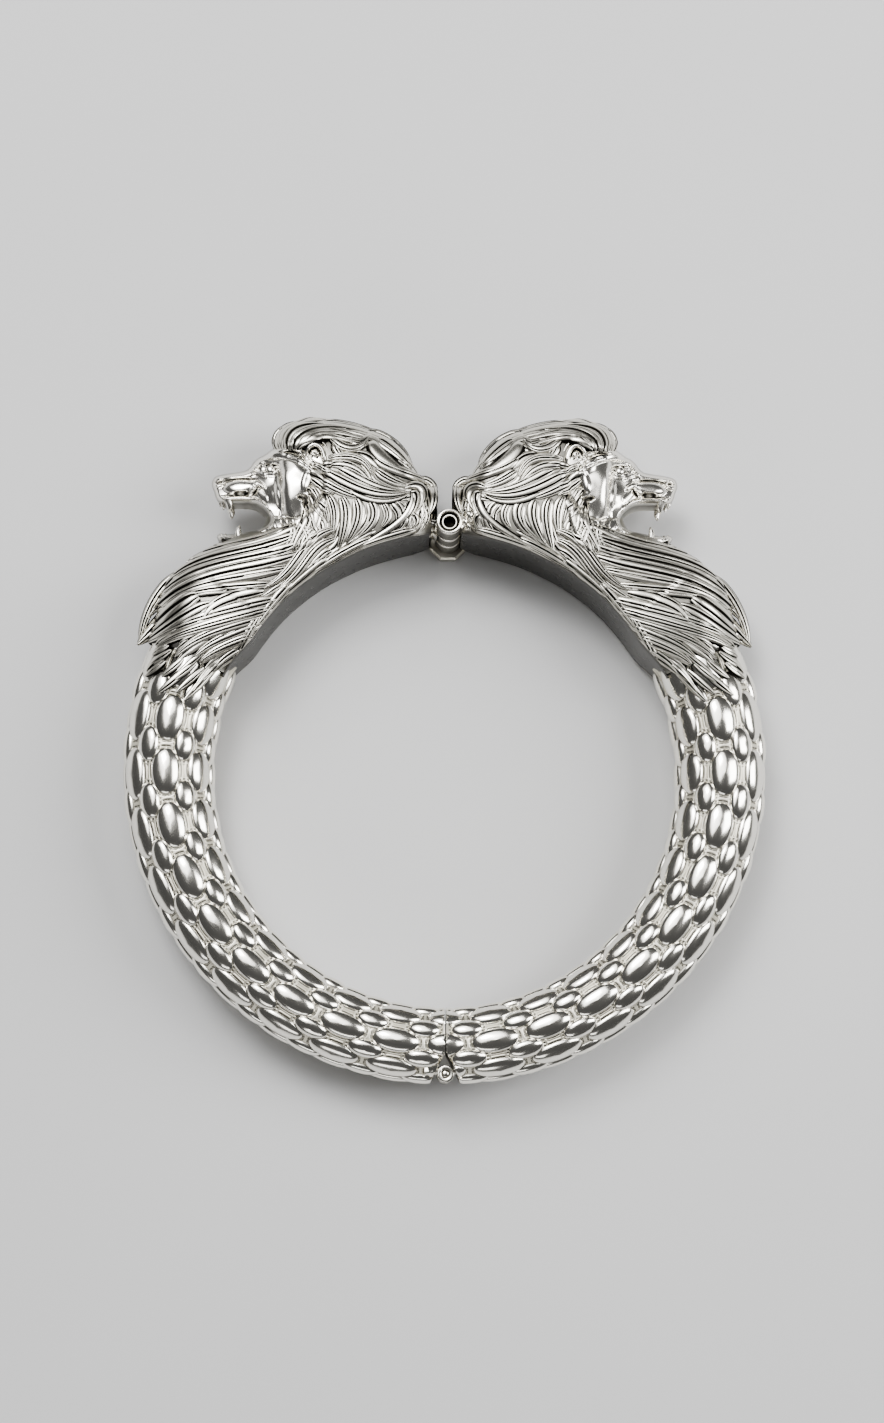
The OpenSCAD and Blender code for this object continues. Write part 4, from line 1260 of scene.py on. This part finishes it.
def tube_profile(outer, bore, low, high, mouth=None, round_by=0.16):
    # radius, height, painted shade: up the outer side, then down the bore; the lower part of the
    # outer side and the bore are painted dark as shade, and the top is left bright
    near = 0.3 * round_by
    side = [(outer - round_by, low, 0.9), (outer - near, low + near, 0.75),
            (outer, low + round_by, 0.6), (outer, high - 5 * round_by, 0.6),
            (outer, high - round_by, 0.0), (outer - near, high - near, 0.0),
            (outer - round_by, high, 0.0)]
    if mouth:
        top = [(mouth + 0.06, high, 0.0), (mouth, high - 0.08, 0.3), (mouth, high - 0.7, 0.9),
               (mouth, high - 1.4, 1.0), (bore, high - 1.4, 1.0)]
    else:
        top = [(bore + 0.05, high, 0.3), (bore, high - 0.05, 1.0)]
    return side + top + [(bore, low + 0.05, 1.0), (bore + 0.05, low, 0.4), side[0]]


print("turning ready")

# %% Bars and solder beads
def bar(tray, start, end, half_wide, half_high, flare=0.5, steps=10, sides=28):
    start, end = np.array(start, float), np.array(end, float)
    along = (end - start) / np.linalg.norm(end - start)
    side = np.array([-along[1], along[0], 0.0])
    angle = np.linspace(0, 2 * np.pi, sides, endpoint=False)
    c, s = np.cos(angle), np.sin(angle)
    reach = (np.abs(c) ** 5 + np.abs(s) ** 5) ** -0.2
    t = np.linspace(0, 1, steps)[:, None]
    grow = 1 + flare * (2 * np.abs(t - 0.35)) ** 3
    points = (start + (end - start) * t)[:, None, :] \
        + side * (grow * reach * c * half_wide)[..., None] \
        + UP * ((1 + 0.3 * (grow - 1)) * reach * s * half_high)[..., None]
    tray.add(points, grid_faces(steps, sides, True), 0.1,
             lambda m: m - (start + ((m - start) @ along)[:, None] * along))


def beads(tray, rows):
    a = np.linspace(0, 2 * np.pi, 18, endpoint=False)
    b = np.linspace(-1.5, 1.5, 10)[:, None]
    for x, y, z, wide, high in rows:
        lump = wide * (1 + 0.12 * np.sin(3 * a + x) * np.cos(2 * b + y))
        points = np.stack([x + lump * np.cos(b) * np.cos(a), y + lump * np.cos(b) * np.sin(a),
                           z + high * np.sin(b) + 0 * a], -1)
        tray.add(points, grid_faces(10, 18, True), 0.15, lambda m, c=(x, y, z): m - np.array(c))


print("bars and beads ready")

# %% Clasp
CLASP_X, CLASP_Y, KNUCKLE_R, BORE_R, MOUTH_R = 0.5, 32.3, 1.72, 1.1, 1.32
CLASP_TOP, CLASP_BOTTOM, GAP = 6.1, 5.3, 0.1
LOW_THIRD, HIGH_THIRD = -CLASP_BOTTOM / 3, CLASP_TOP / 3
ARM_HALF, ARM_FLARE = 1.05, 0.9
RIGHT_BEADS = [
    # across, up, height over the middle plane, half width, half height
    (2.5, 32.5, 4.9, 0.75, 0.8), (3.2, 33.3, 5.2, 0.8, 0.8), (3.1, 31.9, 4.6, 0.7, 0.8),
    (2.7, 33.9, 4.2, 0.8, 1.0), (3.9, 32.5, 5.3, 0.8, 0.7), (2.6, 32.4, -4.0, 0.75, 0.9),
    (3.3, 33.1, -4.2, 0.8, 0.9),
]
LEFT_BEADS = [
    (1.9, 32.6, 1.6, 0.7, 0.7), (2.6, 33.2, 2.3, 0.8, 0.9), (3.2, 32.3, 2.6, 0.8, 0.8),
    (2.4, 31.8, 1.6, 0.7, 0.7), (3.4, 33.6, 3.4, 0.8, 0.9), (3.6, 32.2, 3.8, 0.7, 0.7),
]
right_clasp, left_clasp = Tray(), Tray()
turned(right_clasp, tube_profile(KNUCKLE_R, BORE_R, HIGH_THIRD, CLASP_TOP, MOUTH_R),
       (CLASP_X, CLASP_Y))
turned(right_clasp, tube_profile(KNUCKLE_R, BORE_R, -CLASP_BOTTOM, LOW_THIRD),
       (CLASP_X, CLASP_Y))
for low, high in ((HIGH_THIRD, CLASP_TOP - 0.8), (-CLASP_BOTTOM, LOW_THIRD)):
    middle = (low + high) / 2
    bar(right_clasp, (CLASP_X + 1.3, CLASP_Y + 0.1, middle), (4.4, CLASP_Y + 1.0, middle),
        ARM_HALF, (high - low) / 2 - 0.05, ARM_FLARE)
beads(right_clasp, RIGHT_BEADS)
right_clasp.pour("clasp_ears_right", 1, TURNED_SILVER, "right", "right_half")
turned(left_clasp, tube_profile(KNUCKLE_R, BORE_R, LOW_THIRD + GAP, HIGH_THIRD - GAP),
       (-CLASP_X, CLASP_Y))
bar(left_clasp, (1.3 - CLASP_X, CLASP_Y + 0.1, 0.13), (4.2, CLASP_Y + 1.0, 0.13),
    ARM_HALF, 1.6, ARM_FLARE)
beads(left_clasp, LEFT_BEADS)
left_clasp.pour("clasp_tongue_left", -1, TURNED_SILVER, "left", "left_half")

# %% Screw
head_top, screw_end = -CLASP_BOTTOM - GAP, CLASP_TOP - 0.4
octagon = 2.5 / math.cos(math.pi / 8)
SHAFT = [
    # radius, height, painted shade, dark down the hollow end of the shaft
    (1.05, head_top, 0.4), (1.05, screw_end - 0.1, 0.1), (0.97, screw_end, 0.0),
    (0.86, screw_end, 0.0), (0.8, screw_end - 0.08, 0.4), (0.78, screw_end - 0.8, 1.0),
    (0.75, screw_end - 3.0, 1.0), (0.02, screw_end - 3.1, 1.0),
]
# the thumb head is painted half dark as the shade it lies in under the clasp
THUMB_HEAD = [
    (0.02, head_top - 1.45, 0.3), (1.0, head_top - 1.5, 0.5), (1.2, head_top - 1.6, 0.1),
    (octagon - 0.3, head_top - 1.6, 0.0), (octagon, head_top - 1.3, 0.4),
    (octagon, head_top - 0.25, 0.4), (octagon - 0.25, head_top, 0.45), (0.9, head_top, 0.5),
]
screw = Tray()
turned(screw, SHAFT, (CLASP_X, CLASP_Y))
turned(screw, THUMB_HEAD, (CLASP_X, CLASP_Y), 8, math.pi / 8)
screw_piece = screw.pour("clasp_screw_body", 1, TURNED_SILVER, "screw", "clasp_screw")
screw_piece.data.shade_flat()

# %% [markdown]
# ## Back hinge
#
# The hinge is a small barrel of three tubes at the outer side of the split, with a pin through it.
# One long cylinder would look the same when shut, but the halves have to part, so each tube is
# soldered to its own half by a leaf that runs into the notch behind the barrel.

# %% Hinge
HINGE_Y, BARREL_R, PIN_R, BARREL_HALF = 40.3, 1.1, 0.5, 3.2
THIRD = BARREL_HALF / 3
BARREL_SIDES, PIN_SIDES = 36, 32


def hinge_knuckle(tray, low, high):
    middle = (low + high) / 2
    turned(tray, tube_profile(BARREL_R, PIN_R + 0.04, low, high, round_by=0.1), (0, -HINGE_Y),
           BARREL_SIDES)
    bar(tray, (0.5, -HINGE_Y + 0.42, middle), (2.7, -HINGE_Y + 0.5, middle), 0.42,
        (high - low) / 2 - 0.03)


right_hinge, left_hinge, pin = Tray(), Tray(), Tray()
hinge_knuckle(right_hinge, -THIRD, THIRD)
right_hinge.pour("hinge_knuckle_right", 1, TURNED_SILVER, "right", "right_half")
hinge_knuckle(left_hinge, THIRD + 0.06, BARREL_HALF)
hinge_knuckle(left_hinge, -BARREL_HALF, -THIRD - 0.06)
left_hinge.pour("hinge_knuckles_left", -1, TURNED_SILVER, "left", "left_half")
turned(pin, [
    # radius, height, painted shade
    (0.02, -BARREL_HALF, 0.0), (0.3, -BARREL_HALF, 0.1), (PIN_R, -BARREL_HALF + 0.12, 0.2),
    (PIN_R, BARREL_HALF - 0.12, 0.2), (0.3, BARREL_HALF, 0.1), (0.02, BARREL_HALF, 0.0),
], (0, -HINGE_Y), PIN_SIDES)
pin.pour("hinge_pin_rod", 1, TURNED_SILVER, "left", "hinge_pin")

# %% [markdown]
# ## Finish
#
# The view layer is brought up to date, and the lesson ends.

# %% Finish
bpy.context.view_layer.update()
